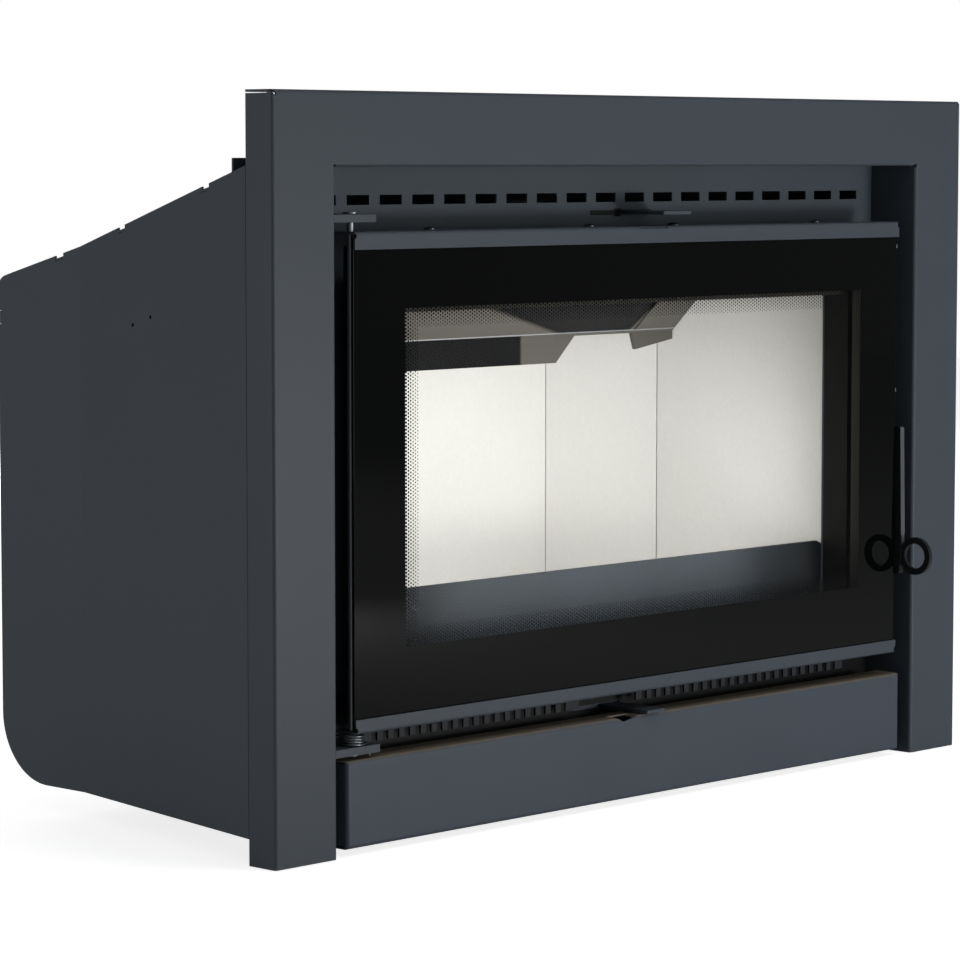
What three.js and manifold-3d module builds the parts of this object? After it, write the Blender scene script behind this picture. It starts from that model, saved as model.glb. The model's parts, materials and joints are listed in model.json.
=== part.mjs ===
// A built-in fireplace insert: a folded steel surround frame, a slotted front panel, a hinged glass door,
// a lined firebox with its baffle, an ash drawer and the convection casing round them.
// Millimetres, +Z up. The front plane of the surround frame is y = 0 while the pieces are made, the back is +Y
// and x = 0 is the middle of the insert.

import * as THREE from 'three';
import { mergeVertices } from 'three/addons/utils/BufferGeometryUtils.js';
import Module from 'manifold-3d';

const wasm = await Module();
wasm.setup();

// ---------------------------------------------------------------- driving dimensions

const fit = 0.3; // gap between pieces that touch

// surround frame
const frameWidth = 865;
const frameHeight = 600;
const frameTopBar = 58.8;
const frameSideBar = 66.2;
const frameFlange = 30.2; // depth of the outer flange
const frameSheet = 2;
const frameBend = 3; // outer radius of the folds
const cornerReliefWidth = 1.6; // relief slot where two folds meet
const cornerReliefLength = 9;
const frameHalf = frameWidth / 2;
const openingHalf = frameHalf - frameSideBar;
const openingTop = frameHeight - frameTopBar;

// slotted front panel
const panelFront = 51.5; // y of its front face
const panelSheet = 2;
const panelOverlap = 6.8; // how far the panel reaches up behind the top bar
const panelTop = openingTop + panelOverlap;
const slotCount = 19;
const slotRowEnd = 23.4; // from the opening's side to the last slot
const slotRowMiddle = 1.4; // the row sits this far right of the middle
const slotWidth = 24.8;
const slotPitch = (2 * (openingHalf - slotRowEnd) - slotWidth) / (slotCount - 1);
const slotHeight = 7.8;
const slotDrop = 30.5; // underside of the slots below the opening's top
const slotBottom = openingTop - slotDrop;

// casing
const casingSheet = 2;
const casingTaperDeg = 10.95; // the sides run inwards by this, front to fold
const casingFold = 287.5; // y of the vertical fold
const casingRear = 395;
const casingBottom = 21;
const lidEdgeDrop = 57.7; // the top edge lies this far below the frame's top at the flange
const lidEdgeAtFrame = frameHeight - lidEdgeDrop;
const lidSlopeDeg = 14.6;
const casingFootRadius = 58; // rear bottom corner
const casingShoulderRadius = 10; // rear top corner
const tabLength = 10; // lid tabs in the notches of the sides
const tabNotchDepth = 4.8;
const lidTabPlaces = [89, 219, 314];
const rearTabHeight = 11.5;
const rearTabDrop = 38.9; // from the top edge's rear end down to the tab
const sideHoleRadius = 1.7;
const sideHolePlaces = [202.4, 174.3];
const sideHoleDrop = 83.6; // below the top edge

// door, outer sizes
const doorGap = 22.1; // from the opening's side to the door
const doorHalf = openingHalf - doorGap;
const doorFront = 1.5;
const railSheet = 2;
const railBend = 1.5; // centre-line radius of the rail's fold
const railDepth = 26; // y of the rail flanges' rear edge
const topRailDrop = 50.6; // below the opening's top
const topRailHeight = 14;
const topRailHigh = openingTop - topRailDrop;
const topRailLow = topRailHigh - topRailHeight;
const bottomRailLow = 95.6;
const bottomRailHeight = 11.8;
const bottomRailHigh = bottomRailLow + bottomRailHeight;
const innerFrameLap = 11.2; // how far the glass reaches past the inner frame
const innerFrameHalf = doorHalf - innerFrameLap;
const innerFrameRear = 20;
const innerFrameBar = 33; // width of the inner frame's uprights
const doorWindowHalf = innerFrameHalf - innerFrameBar;
const doorWindowDrop = 32.6; // below the top rail
const doorWindowRise = 40.6; // above the bottom rail
const doorWindowBottom = bottomRailHigh + doorWindowRise;
const doorWindowTop = topRailLow - doorWindowDrop;

// firebox mouth
const mouthInset = 1; // the mouth is smaller than the door's window at the sides
const mouthStep = 2; // and larger above and below
const mouthHalf = doorWindowHalf - mouthInset;
const mouthBottom = doorWindowBottom - mouthStep;
const mouthTop = doorWindowTop + mouthStep;
const seatFront = 24; // y of the sealing face
const seatRim = 33; // width of the seat frame
const seatSheet = 3;

// firebox
const liningSideGap = 1; // between the mouth's side and the side board's front end
const liningFrontHalf = mouthHalf + liningSideGap;
const liningCornerY = 226; // where the side boards end
const liningBackY = 300; // inner face of the back board
const liningBoard = 25;
const liningTopDrop = 1; // below the mouth's top
const liningTop = mouthTop - liningTopDrop;
const liningJoint = 0.35; // half the gap at a joint
const fireboxSheet = 3;
const fireboxTopRise = 10; // from the boards to the underside of the firebox top
const fireboxTopLevel = liningTop + fireboxTopRise;
const floorDrop = 28; // from the mouth's lower edge to the underside of the firebox floor
const floorPlateLevel = mouthBottom - floorDrop;
const hearthThickness = 20;

// door, inner parts
const glassFront = 4;
const glassThickness = 4;
const sealWidth = 9;
const sealGroove = 5; // depth of the groove in the inner frame
const railScrewX = [-0.7202, -0.1711, 0.1377, 0.6955].map((share) => share * doorHalf);
const railScrewY = 15;
const railScrewHead = 5.6;
const railScrewRise = 2.7; // height of the domed head
const railScrewShank = 2;
const railScrewDepth = 9;
const railSlitLength = 36; // slit along the top rail's fold
const railSlitHeight = 1.2;
const railSlitX = 7;
const railSlitDrop = 0.7; // below the rail's top
const railSlitReach = 2.4; // into the rail
const railReliefRadius = 2.3; // round relief at the ends of a fold
const railReliefDrop = 3.3; // its middle, from the rail's folded edge
const clipSheet = 1.2; // clips over the glass edge
const clipHalf = 1.7; // half height
const clipFront = 4.4; // y of the clip's front end
const clipDrops = [22.3, 153.6]; // below the top rail's top

// hinge
const hingeInset = 6; // from the door's side to the rod
const hingeX = hingeInset - doorHalf;
const hingeY = 13;
const rodRadius = 2.8;
const bracketThickness = 6.3;
const bracketLeft = fit - openingHalf;
const bracketReach = 18.3; // from the rod to the bracket's free end
const lowerBracketReach = 21;
const bracketFront = 2.6;
const upperBracketDrop = 43.3; // underside of the upper bracket below the opening's top
const upperBracketLow = openingTop - upperBracketDrop;
const lowerBracketLow = 79.5;
const rodHeadRadius = 5.8;
const rodHeadHeight = 1.4;

// closing spring
const springMeanRadius = 9.3;
const springWire = 1.9;
const springTurns = 3.25;
const springFootReach = 15.2; // from the rod to the foot, which turns down through the bracket
const springFootX = hingeX + springFootReach;
const springFootLead = 20; // degrees by which the foot's run leans back
const springFootDrop = 2.9; // how far the foot stands out under the bracket
const springArm = 12; // straight arm under the door's bottom rail
const springHole = 1.5; // radius of the hole for its foot

// handle and latch
const handleGap = 5.8; // from the door's side to the lever's middle plane
const handleX = doorHalf + handleGap;
const handleThickness = 5.6;
const handleFront = 0.3;
const handleRear = 21;
const handleTop = 303.8;
const handleStemTop = 200;
const handleBottom = 168;
const handleStemRear = 15;
const ringY = -16.4;
const ringZ = 185.5;
const ringRadius = 17.2;
const ringHole = 11.5;
const ringThickness = 4;
const neckHalf = 9; // half height of the neck between ring and lever
const handleCorner = 2.5;
const handlePivotY = 13.5;
const handlePivotZ = 250;
const handleBoltRadius = 3;
const handleBoltHead = 6;
const handleBoltHeadHeight = 2;
const handleBoltDepth = 9; // how far it screws into the door's frame
const catchPinRadius = 3;
const catchPinY = 38;
const catchPinZ = 246;
const noseReach = 44; // y of the latch nose's end
const noseHeight = 9;
const noseGap = 0.8; // between the nose and the catch pin
const catchGap = 7; // from the lever's middle plane to the catch plate
const catchPlateX = handleX + catchGap;
const catchPlateThickness = 3;
const catchPlateFront = 31;
const catchPlateHalf = 16; // half height

// air levers and slides
const leverSheet = 3;
const upperLeverLeft = 21.5;
const upperLeverWidth = 36;
const upperLeverDrop = 41; // below the opening's top
const upperLeverLow = openingTop - upperLeverDrop;
const leverSlotPlay = 0.4; // of a lever in the panel's slot, up and down
const leverEntryWidth = 9.5; // taller end of the upper lever's slot
const leverEntryPlay = 1.8;
const upperLeverFront = 3;
const upperLeverTravel = 38;
const lowerLeverLeft = -4;
const lowerLeverWidth = 23;
const lowerLeverLow = 76.3;
const lowerLeverFront = -3;
const lowerLeverTravel = 32;
const slideHalf = 150; // half length of the slide plates
const slideSheet = 2;
const airWindowCount = 5;
const airWindowPitch = 60;
const airWindowWidth = 22;
const airWindowHeight = 14;
const upperWindowRise = 13; // above the firebox top
const upperWindowLow = fireboxTopLevel + upperWindowRise;
const upperWindowHigh = upperWindowLow + airWindowHeight;
const lowerWindowLow = 86;
const lowerWindowHigh = lowerWindowLow + airWindowHeight;
const lowerSlideHigh = 106;
const slideRun = 0.3; // play of a slide in its guide
const guideSheet = 1.5;
const guideLedge = 2.5;
const ductHalf = 196;
const ductRear = 84;
const ductSheet = 1.5;
const ductWindowFront = 62;
const ductWindowRear = 78;
const ductWindowHalf = 150;

// comb grille
const combY = 33;
const combSheet = 2;
const combReach = 7; // past the mouth's side
const combHalf = mouthHalf + combReach;
const combEnd = 9.4; // plain end of the plate
const combTop = 112.4;
const combPitch = 12.37;
const combGap = 6.2; // width between two teeth
const toothEnd = 82;
const toothRoot = 105;
const combLeftStart = combEnd - combHalf;
const combMouthLeft = -51;
const combMouthRight = 21.5;
const combMouthRim = 8; // plain part beside the lever's mouth
const combRightStart = combMouthRight + combMouthRim - 0.1;
const combTooth = combPitch - combGap;
const combLeftGaps = Math.floor((combMouthLeft - combMouthRim - combLeftStart + combTooth) / combPitch);
const combRightGaps = Math.floor((combHalf - combEnd - combRightStart + combTooth) / combPitch);

// lower front and ash drawer
const lowerFrontGap = 13.8; // from the opening's side
const lowerFrontHalf = openingHalf - lowerFrontGap;
const lowerFrontY = 3;
const lowerFrontLow = 5;
const lowerFrontHigh = 75.5;
const lowerFrontSheet = 1.5;
const lowerFrontBend = 3.7;
const lowerFrontDepth = 27;
const cornerSlit = 1.2;
const notchLeft = -36.5;
const notchDeepX = -28;
const notchRight = 3;
const notchDepth = 3.8;
const notchReach = 14; // into the folded top
const panHalf = 150;
const panRear = 285;
const panLow = 27;
const panHigh = 68;
const panSheet = 1.5;
const drawerTravel = 200;
const chamberHalf = 162;
const chamberFront = 60;
const chamberRear = 300;
const chamberSheet = 2;
const runnerWidth = 28;
const runnerRise = 20;
const runnerSheet = 2;
const drawerMouthTop = 71;

// grate and log guard
const grateHalfX = 110;
const grateFront = 112;
const grateRear = 238;
const grateBarPitch = 17;
const grateBarWidth = 9;
const grateRim = 12;
const grateLedge = 8; // how far the floor reaches under it
const grateSink = 4; // its top lies this far under the hearth's
const guardY = 56;
const guardTop = 199;
const guardSheet = 4;
const guardLean = 8; // how far its top leans back

// baffle
const baffleEdgeY = 200; // rear, lower edge
const baffleDrop = 57; // its lower edge below the mouth's top
const baffleEdgeZ = mouthTop - baffleDrop;
const baffleSheet = 4;
const baffleRise = 54; // 45 degrees: it rises this much towards the front
const baffleSideGap = 43.5; // from the side boards' front ends
const baffleHalf = liningFrontHalf - baffleSideGap;
const middleLipHalf = 122;
const middleLipHalfLow = 97;
const lipHeight = 25;
const sideLipWidth = 57.5;
const sideLipInner = baffleHalf - sideLipWidth;
const sideLipDrop = 16.5;
const sideLipDropOuter = 8.5;
const baffleRib = 6;
const baffleRibRise = 2;
const hangerX = 150;
const hangerSheet = 4;

// outlet and feet
const outletRadius = 90;
const outletSheet = 2.5;
const outletY = 215;
const outletDrop = 15; // below the frame's top
const outletTop = frameHeight - outletDrop;
const outletFlange = 16;
const footRadius = 15;
const footPad = 6;
const footStem = 5;
const footNut = 9;
const footNutHeight = 6;
const footInset = 81.3; // from the opening's side
const footX = openingHalf - footInset;
const footFrontY = 105;
const footRearY = 312;

// ---------------------------------------------------------------- derived places

const panelBack = panelFront + panelSheet;
const behindPanel = panelBack + fit;
const casingFront = frameFlange + fit;
const taper = Math.tan(THREE.MathUtils.degToRad(casingTaperDeg));
const lidFall = Math.tan(THREE.MathUtils.degToRad(lidSlopeDeg));
const lidEdge = (y) => lidEdgeAtFrame - (y - casingFront) * lidFall;
const rearTabLevel = lidEdge(casingRear) - rearTabDrop;
const casingOuterAt = (y) => frameHalf - (Math.min(y, casingFold) - casingFront) * taper;
const sideWallAcross = casingSheet / Math.cos(THREE.MathUtils.degToRad(casingTaperDeg));
const casingInnerAt = (y) => casingOuterAt(y) - sideWallAcross;
const baseUnder = casingBottom + 0.5; // underside of the base sheet
const baseTop = baseUnder + casingSheet;
const onBase = baseTop + fit;
const glassBack = glassFront + glassThickness;
const handleLeft = handleX - handleThickness / 2;
const handleRight = handleX + handleThickness / 2;
const onFloorPlate = floorPlateLevel + fireboxSheet + fit;
const lowerBracketTop = lowerBracketLow + bracketThickness;
const upperBracketTop = upperBracketLow + bracketThickness;
const returnBack = panelFront - fit; // rear end of the frame's returns
const caseFrontmost = ringY - ringRadius;
const footprintMiddle = (caseFrontmost + casingRear) / 2;

// ---------------------------------------------------------------- solids from geometry

function toSolid(geometry) {
  const bare = geometry.clone();
  bare.deleteAttribute('normal');
  bare.deleteAttribute('uv');
  const merged = mergeVertices(bare, 1e-4);
  const corners = merged.index.array;
  const kept = [];
  for (let i = 0; i < corners.length; i += 3) {
    const [a, b, c] = [corners[i], corners[i + 1], corners[i + 2]];
    if (a !== b && b !== c && c !== a) kept.push(a, b, c);
  }
  const vertProperties = new Float32Array(merged.attributes.position.array);
  return new wasm.Manifold(new wasm.Mesh({ numProp: 3, vertProperties, triVerts: new Uint32Array(kept) }));
}

function toGeometry(solid) {
  const mesh = solid.getMesh();
  const geometry = new THREE.BufferGeometry();
  geometry.setAttribute('position', new THREE.BufferAttribute(new Float32Array(mesh.vertProperties), 3));
  geometry.setIndex(new THREE.BufferAttribute(new Uint32Array(mesh.triVerts), 1));
  geometry.computeVertexNormals();
  return geometry;
}

const join = (...solids) => solids.reduce((sum, solid) => sum.add(solid));
const cut = (solid, ...tools) => tools.reduce((left, tool) => left.subtract(tool), solid);

function block(x0, x1, y0, y1, z0, z1) {
  const geometry = new THREE.BoxGeometry(x1 - x0, y1 - y0, z1 - z0);
  geometry.translate((x0 + x1) / 2, (y0 + y1) / 2, (z0 + z1) / 2);
  return toSolid(geometry);
}

function outline(points) {
  const shape = new THREE.Shape();
  points.forEach(([u, v], i) => (i ? shape.lineTo(u, v) : shape.moveTo(u, v)));
  shape.closePath();
  return shape;
}

const rectangle = (u0, v0, u1, v1) => outline([[u0, v0], [u1, v0], [u1, v1], [u0, v1]]);

function roundedRectangle(u0, v0, u1, v1, r, Kind = THREE.Shape) {
  const shape = new Kind();
  shape.moveTo(u0 + r, v0);
  shape.lineTo(u1 - r, v0);
  shape.absarc(u1 - r, v0 + r, r, -Math.PI / 2, 0);
  shape.lineTo(u1, v1 - r);
  shape.absarc(u1 - r, v1 - r, r, 0, Math.PI / 2);
  shape.lineTo(u0 + r, v1);
  shape.absarc(u0 + r, v1 - r, r, Math.PI / 2, Math.PI);
  shape.lineTo(u0, v0 + r);
  shape.absarc(u0 + r, v0 + r, r, Math.PI, 1.5 * Math.PI);
  return shape;
}

// a shape drawn in (x, y), raised along z
function raised(shape, z0, z1, curveSegments = 6) {
  const geometry = new THREE.ExtrudeGeometry(shape, { depth: z1 - z0, bevelEnabled: false, curveSegments });
  geometry.translate(0, 0, z0);
  return toSolid(geometry);
}

const profileTurn = new THREE.Matrix4().set(0, 0, 1, 0, 1, 0, 0, 0, 0, 1, 0, 0, 0, 0, 0, 1);

// a shape drawn in (y, z), run along x
function along(shape, x0, x1, curveSegments = 6) {
  const geometry = new THREE.ExtrudeGeometry(shape, { depth: x1 - x0, bevelEnabled: false, curveSegments });
  geometry.applyMatrix4(profileTurn);
  geometry.translate(x0, 0, 0);
  return toSolid(geometry);
}

// a shape drawn in (x, z), run from y0 back to y1; a round is given to the front edges by front
function deep(shape, y0, y1, front = 0, curveSegments = 6) {
  const settings = { depth: y1 - y0, bevelEnabled: false, curveSegments };
  if (front) {
    Object.assign(settings, {
      depth: y1 - y0 - 2 * front,
      bevelEnabled: true,
      bevelThickness: front,
      bevelSize: front,
      bevelOffset: -front,
      bevelSegments: 4,
    });
  }
  const geometry = new THREE.ExtrudeGeometry(shape, settings);
  geometry.rotateX(Math.PI / 2);
  geometry.translate(0, front ? y1 - front : y1, 0);
  return toSolid(geometry);
}

// a turned piece: its profile is given as [radius, height]
function turned(profile, x, y, segments = 24) {
  const points = profile.map(([r, z]) => new THREE.Vector2(r, z));
  const geometry = new THREE.LatheGeometry(points, segments);
  geometry.rotateX(Math.PI / 2);
  geometry.translate(x, y, 0);
  return toSolid(geometry);
}

const post = (x, y, r, z0, z1, segments = 20) => turned([[0, z0], [r, z0], [r, z1], [0, z1]], x, y, segments);

function crossPin(y, z, r, x0, x1, segments = 20) {
  const geometry = new THREE.CylinderGeometry(r, r, x1 - x0, segments);
  geometry.rotateZ(Math.PI / 2);
  geometry.translate((x0 + x1) / 2, y, z);
  return toSolid(geometry);
}

// the section of a folded sheet: a centre line, its thickness and the centre-line radius of every fold
function foldedSection(line, thickness, radius, steps = 4) {
  const points = line.map(([u, v]) => new THREE.Vector2(u, v));
  const spine = [];
  points.forEach((p, i) => {
    if (i === 0 || i === points.length - 1) {
      const run = i === 0 ? points[1].clone().sub(p) : p.clone().sub(points[i - 1]);
      spine.push([p, run.normalize()]);
      return;
    }
    const before = p.clone().sub(points[i - 1]).normalize();
    const after = points[i + 1].clone().sub(p).normalize();
    const turn = Math.atan2(before.cross(after), before.dot(after));
    const setback = radius * Math.tan(Math.abs(turn) / 2);
    const start = p.clone().addScaledVector(before, -setback);
    const side = Math.sign(turn);
    const centre = start.clone().add(new THREE.Vector2(-before.y, before.x).multiplyScalar(side * radius));
    for (let s = 0; s <= steps; s++) {
      const angle = (turn * s) / steps;
      const place = start.clone().rotateAround(centre, angle);
      spine.push([place, before.clone().rotateAround(new THREE.Vector2(), angle)]);
    }
  });
  const half = thickness / 2;
  const left = spine.map(([p, d]) => [p.x - d.y * half, p.y + d.x * half]);
  const right = spine.map(([p, d]) => [p.x + d.y * half, p.y - d.x * half]);
  return outline([...left, ...right.reverse()]);
}

// ---------------------------------------------------------------- materials

const finish = (color, roughness, metalness) => new THREE.MeshStandardMaterial({ color, roughness, metalness });
const anthracite = finish('#454c54', 0.5, 0.35);
const casingPaint = finish('#363c42', 0.55, 0.35);
const blackSteel = finish('#1c1e20', 0.55, 0.4);
const board = finish('#e0dfda', 0.9, 0);
const castIron = finish('#2a2b2c', 0.75, 0.6);
const springSteel = finish('#8a8f94', 0.35, 0.9);
const zinc = finish('#a9adb0', 0.3, 0.9);
const rope = finish('#3b3b3a', 0.95, 0);
const blackGlass = finish('#101112', 0.08, 0);

const insert = new THREE.Group();
insert.position.y = -footprintMiddle;

function add(name, solid, material) {
  const mesh = new THREE.Mesh(toGeometry(solid), material);
  mesh.name = name;
  insert.add(mesh);
}

const mirrored = (solid) => solid.mirror([1, 0, 0]);

// ---------------------------------------------------------------- surround frame

function archOutline(outerHalf, outerTop, innerHalf, innerTop, low) {
  return outline([
    [-outerHalf, low], [-outerHalf, outerTop], [outerHalf, outerTop], [outerHalf, low],
    [innerHalf, low], [innerHalf, innerTop], [-innerHalf, innerTop], [-innerHalf, low],
  ]);
}

function surroundFrame() {
  const below = -20;
  const face = deep(archOutline(frameHalf, frameHeight, openingHalf, openingTop, below), 0, frameFlange + 20, frameBend);
  const hollow = deep(
    archOutline(frameHalf - frameSheet, frameHeight - frameSheet, openingHalf + frameSheet, openingTop + frameSheet, below - 1),
    frameSheet,
    panelFront + 20,
    frameBend - frameSheet,
  );
  const returns = deep(
    archOutline(openingHalf + frameSheet, openingTop + frameSheet, openingHalf, openingTop, below),
    frameBend,
    returnBack,
  );
  let frame = cut(face, hollow, block(-frameHalf - 1, frameHalf + 1, frameFlange, frameFlange + 40, -60, frameHeight + 1));
  frame = cut(join(frame, returns), block(-frameHalf - 1, frameHalf + 1, -1, panelFront + 1, -60, 0));
  for (const side of [-1, 1]) {
    const relief = new THREE.BoxGeometry(cornerReliefLength, 2 * frameBend, cornerReliefWidth);
    relief.rotateY((-side * Math.PI) / 4);
    relief.translate(side * (frameHalf - 1), frameBend - 0.6, frameHeight - 1);
    const flangeSlit = block(
      side * frameHalf - frameSheet - 0.4, side * frameHalf + frameSheet + 0.4, 2 * frameBend, frameFlange + 1,
      frameHeight - frameSheet - 0.8, frameHeight - frameSheet,
    );
    const innerRelief = block(
      side * openingHalf - 1.6, side * openingHalf + 1.6, -1, 2 * frameBend, openingTop - 1.6, openingTop + 1.6,
    );
    frame = cut(frame, toSolid(relief), flangeSlit, innerRelief);
  }
  return frame;
}
add('surround_frame', surroundFrame(), anthracite);

// ---------------------------------------------------------------- slotted front panel

const airWindows = [...Array(airWindowCount).keys()].map((i) => (i - (airWindowCount - 1) / 2) * airWindowPitch);

function frontPanel() {
  const half = casingInnerAt(panelBack) - fit;
  let panel = block(-half, half, panelFront, panelBack, onBase, panelTop);
  const through = (x0, x1, z0, z1) => block(x0, x1, panelFront - 1, panelBack + 1, z0, z1);
  for (let i = 0; i < slotCount; i++) {
    const middle = (i - (slotCount - 1) / 2) * slotPitch + slotRowMiddle;
    panel = cut(panel, through(middle - slotWidth / 2, middle + slotWidth / 2, slotBottom, slotBottom + slotHeight));
  }
  for (const x of airWindows) {
    panel = cut(
      panel,
      through(x - airWindowWidth / 2, x + airWindowWidth / 2, upperWindowLow, upperWindowHigh),
      through(x - airWindowWidth / 2, x + airWindowWidth / 2, lowerWindowLow, lowerWindowHigh),
    );
  }
  return cut(
    panel,
    through(-mouthHalf, mouthHalf, mouthBottom, mouthTop),
    through(
      upperLeverLeft - upperLeverTravel - 2, upperLeverLeft + upperLeverWidth + 2,
      upperLeverLow - leverSlotPlay, upperLeverLow + leverSheet + leverSlotPlay,
    ),
    through(
      upperLeverLeft - leverEntryWidth, upperLeverLeft,
      upperLeverLow - leverEntryPlay, upperLeverLow + leverSheet + leverEntryPlay,
    ),
    through(
      lowerLeverLeft - lowerLeverTravel - 2, lowerLeverLeft + lowerLeverWidth + 2,
      lowerLeverLow - 0.8, lowerLeverLow + leverSheet + 1,
    ),
    through(-chamberHalf + chamberSheet, chamberHalf - chamberSheet, onBase - 1, drawerMouthTop),
  );
}
add('front_panel', frontPanel(), anthracite);

// ---------------------------------------------------------------- casing

const sideProfile = () => {
  const top = (y) => lidEdge(y);
  const shape = new THREE.Shape();
  shape.moveTo(casingFront, casingBottom);
  shape.lineTo(casingRear - casingFootRadius, casingBottom);
  shape.absarc(casingRear - casingFootRadius, casingBottom + casingFootRadius, casingFootRadius, -Math.PI / 2, 0);
  shape.lineTo(casingRear, top(casingRear) - casingShoulderRadius);
  shape.quadraticCurveTo(casingRear, top(casingRear), casingRear - casingShoulderRadius, top(casingRear - casingShoulderRadius));
  shape.lineTo(casingFront, top(casingFront));
  return shape;
};

function casingSide() {
  const half = casingSheet / 2;
  const line = [
    [casingOuterAt(casingFront) - half, casingFront],
    [casingOuterAt(casingFold) - half, casingFold],
    [casingOuterAt(casingFold) - half, casingRear + 1],
  ];
  const wall = raised(foldedSection(line, casingSheet, 4), casingBottom - 1, lidEdge(casingFront) + 1);
  const profile = along(sideProfile(), frameHalf - 80, frameHalf + 10, 10);
  let side = wall.intersect(profile);
  for (const y of lidTabPlaces) {
    const notch = outline([
      [y - tabLength / 2, lidEdge(y) + 8], [y - tabLength / 2, lidEdge(y - tabLength / 2) - tabNotchDepth],
      [y + tabLength / 2, lidEdge(y + tabLength / 2) - tabNotchDepth], [y + tabLength / 2, lidEdge(y) + 8],
    ]);
    side = cut(side, along(notch, frameHalf - 80, frameHalf + 10));
  }
  side = cut(side, block(
    frameHalf - 80, frameHalf + 10, casingRear - 3.8, casingRear + 1, rearTabLevel, rearTabLevel + rearTabHeight,
  ));
  for (const y of sideHolePlaces) {
    const z = lidEdge(y) - sideHoleDrop;
    side = cut(side, crossPin(y, z, sideHoleRadius, frameHalf - 80, frameHalf + 10, 16));
  }
  return side;
}
add('casing_side_right', casingSide(), casingPaint);
add('casing_side_left', mirrored(casingSide()), casingPaint);

// the plan of the space between the two sides, drawn in (x, y)
function insidePlan(y0, y1, gap) {
  const right = [[casingInnerAt(y0) - gap, y0], [casingInnerAt(casingFold) - gap, casingFold], [casingInnerAt(y1) - gap, y1]];
  return outline([...right, ...right.map(([x, y]) => [-x, y]).reverse()]);
}

const lidDrop = tabNotchDepth - fit - casingSheet; // the lid lies this far below the top edge of the sides
const backRear = casingRear - 1.5;

function casingWrap() {
  const half = casingSheet / 2;
  const rear = backRear;
  const lidUnder = lidEdge(rear) - lidDrop - casingSheet;
  const line = [
    [behindPanel, baseUnder + half],
    [rear - half, baseUnder + half],
    [rear - half, lidUnder - fit],
  ];
  const sheet = along(foldedSection(line, casingSheet, casingFootRadius - 2, 8), -frameHalf, frameHalf);
  let wrap = sheet.intersect(raised(insidePlan(behindPanel, casingRear + 1, fit), 0, frameHeight));
  for (const side of [-1, 1]) {
    const edge = casingInnerAt(casingRear);
    const [x0, x1] = side > 0 ? [edge - 3, edge + casingSheet] : [-edge - casingSheet, -edge + 3];
    const tab = block(x0, x1, rear - casingSheet, rear, rearTabLevel + fit, rearTabLevel + rearTabHeight - fit);
    wrap = join(wrap, tab);
  }
  return wrap;
}
add('casing_back_and_base', casingWrap(), casingPaint);

function casingLid() {
  const slab = (y0, y1) => outline([
    [y0, lidEdge(y0) - lidDrop - casingSheet], [y1, lidEdge(y1) - lidDrop - casingSheet],
    [y1, lidEdge(y1) - lidDrop], [y0, lidEdge(y0) - lidDrop],
  ]);
  const sheet = along(slab(behindPanel, backRear), -frameHalf, frameHalf);
  let lid = sheet.intersect(raised(insidePlan(behindPanel, casingRear, fit), 0, frameHeight));
  for (const y of lidTabPlaces) {
    const tab = along(slab(y - tabLength / 2 + fit, y + tabLength / 2 - fit), casingInnerAt(y) - 8, casingOuterAt(y) - 0.2);
    lid = join(lid, tab, mirrored(tab));
  }
  return cut(lid, post(0, outletY, outletRadius + fit, fireboxTopLevel, frameHeight, 48));
}
add('casing_lid', casingLid(), casingPaint);

// ---------------------------------------------------------------- firebox: lining and steel wall

// inner corners of the lining in plan, from the right front round to the left front
const liningRun = (() => {
  const sideEnd = liningFrontHalf - (liningCornerY - behindPanel) * taper;
  const backEnd = sideEnd - (liningBackY - liningCornerY);
  const right = [[liningFrontHalf, behindPanel], [sideEnd, liningCornerY], [backEnd, liningBackY]];
  return [...right, ...right.map(([x, y]) => [-x, y]).reverse()].map(([x, y]) => new THREE.Vector2(x, y));
})();

// the same run moved outwards by a distance
function liningOffset(distance) {
  const normals = liningRun.slice(1).map((p, i) => {
    const run = p.clone().sub(liningRun[i]).normalize();
    return new THREE.Vector2(run.y, -run.x);
  });
  return liningRun.map((p, i) => {
    if (i === 0 || i === liningRun.length - 1) {
      const n = normals[i === 0 ? 0 : normals.length - 1];
      return new THREE.Vector2(p.x + distance / n.x, p.y);
    }
    const [a, b] = [normals[i - 1], normals[i]];
    const mid = a.clone().add(b).normalize();
    return p.clone().addScaledVector(mid, distance / mid.dot(a));
  });
}

function liningBoardSolid(i, low, high) {
  const outer = liningOffset(liningBoard);
  const run = liningRun[i + 1].clone().sub(liningRun[i]).normalize().multiplyScalar(liningJoint);
  const corners = [
    liningRun[i].clone().add(run), outer[i].clone().add(run),
    outer[i + 1].clone().sub(run), liningRun[i + 1].clone().sub(run),
  ];
  return raised(outline(corners.map((p) => [p.x, p.y])), low, high);
}

const boardNames = ['lining_side_right', 'lining_corner_right', 'lining_back', 'lining_corner_left', 'lining_side_left'];
boardNames.forEach((name, i) => add(name, liningBoardSolid(i, onFloorPlate, liningTop), board));

function fireboxWall() {
  const middle = liningOffset(liningBoard + fit + fireboxSheet / 2).map((p) => [p.x, p.y]);
  return raised(foldedSection(middle, fireboxSheet, 5), onBase, fireboxTopLevel - fit);
}
add('firebox_wall', fireboxWall(), blackSteel);

function fireboxTop() {
  const edge = liningOffset(liningBoard + fit + fireboxSheet + 2).map((p) => [p.x, p.y]);
  const plate = raised(outline(edge), fireboxTopLevel, fireboxTopLevel + fireboxSheet);
  return cut(
    plate,
    post(0, outletY, outletRadius - outletSheet, liningTop, fireboxTopLevel + fireboxSheet + 1, 48),
    block(
      -ductWindowHalf, ductWindowHalf, ductWindowFront, ductWindowRear, liningTop, fireboxTopLevel + fireboxSheet + 1,
    ),
  );
}
add('firebox_top', fireboxTop(), blackSteel);

const liningPlan = (gap) => outline(liningOffset(-gap).map((p) => [p.x, p.y]));

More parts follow.
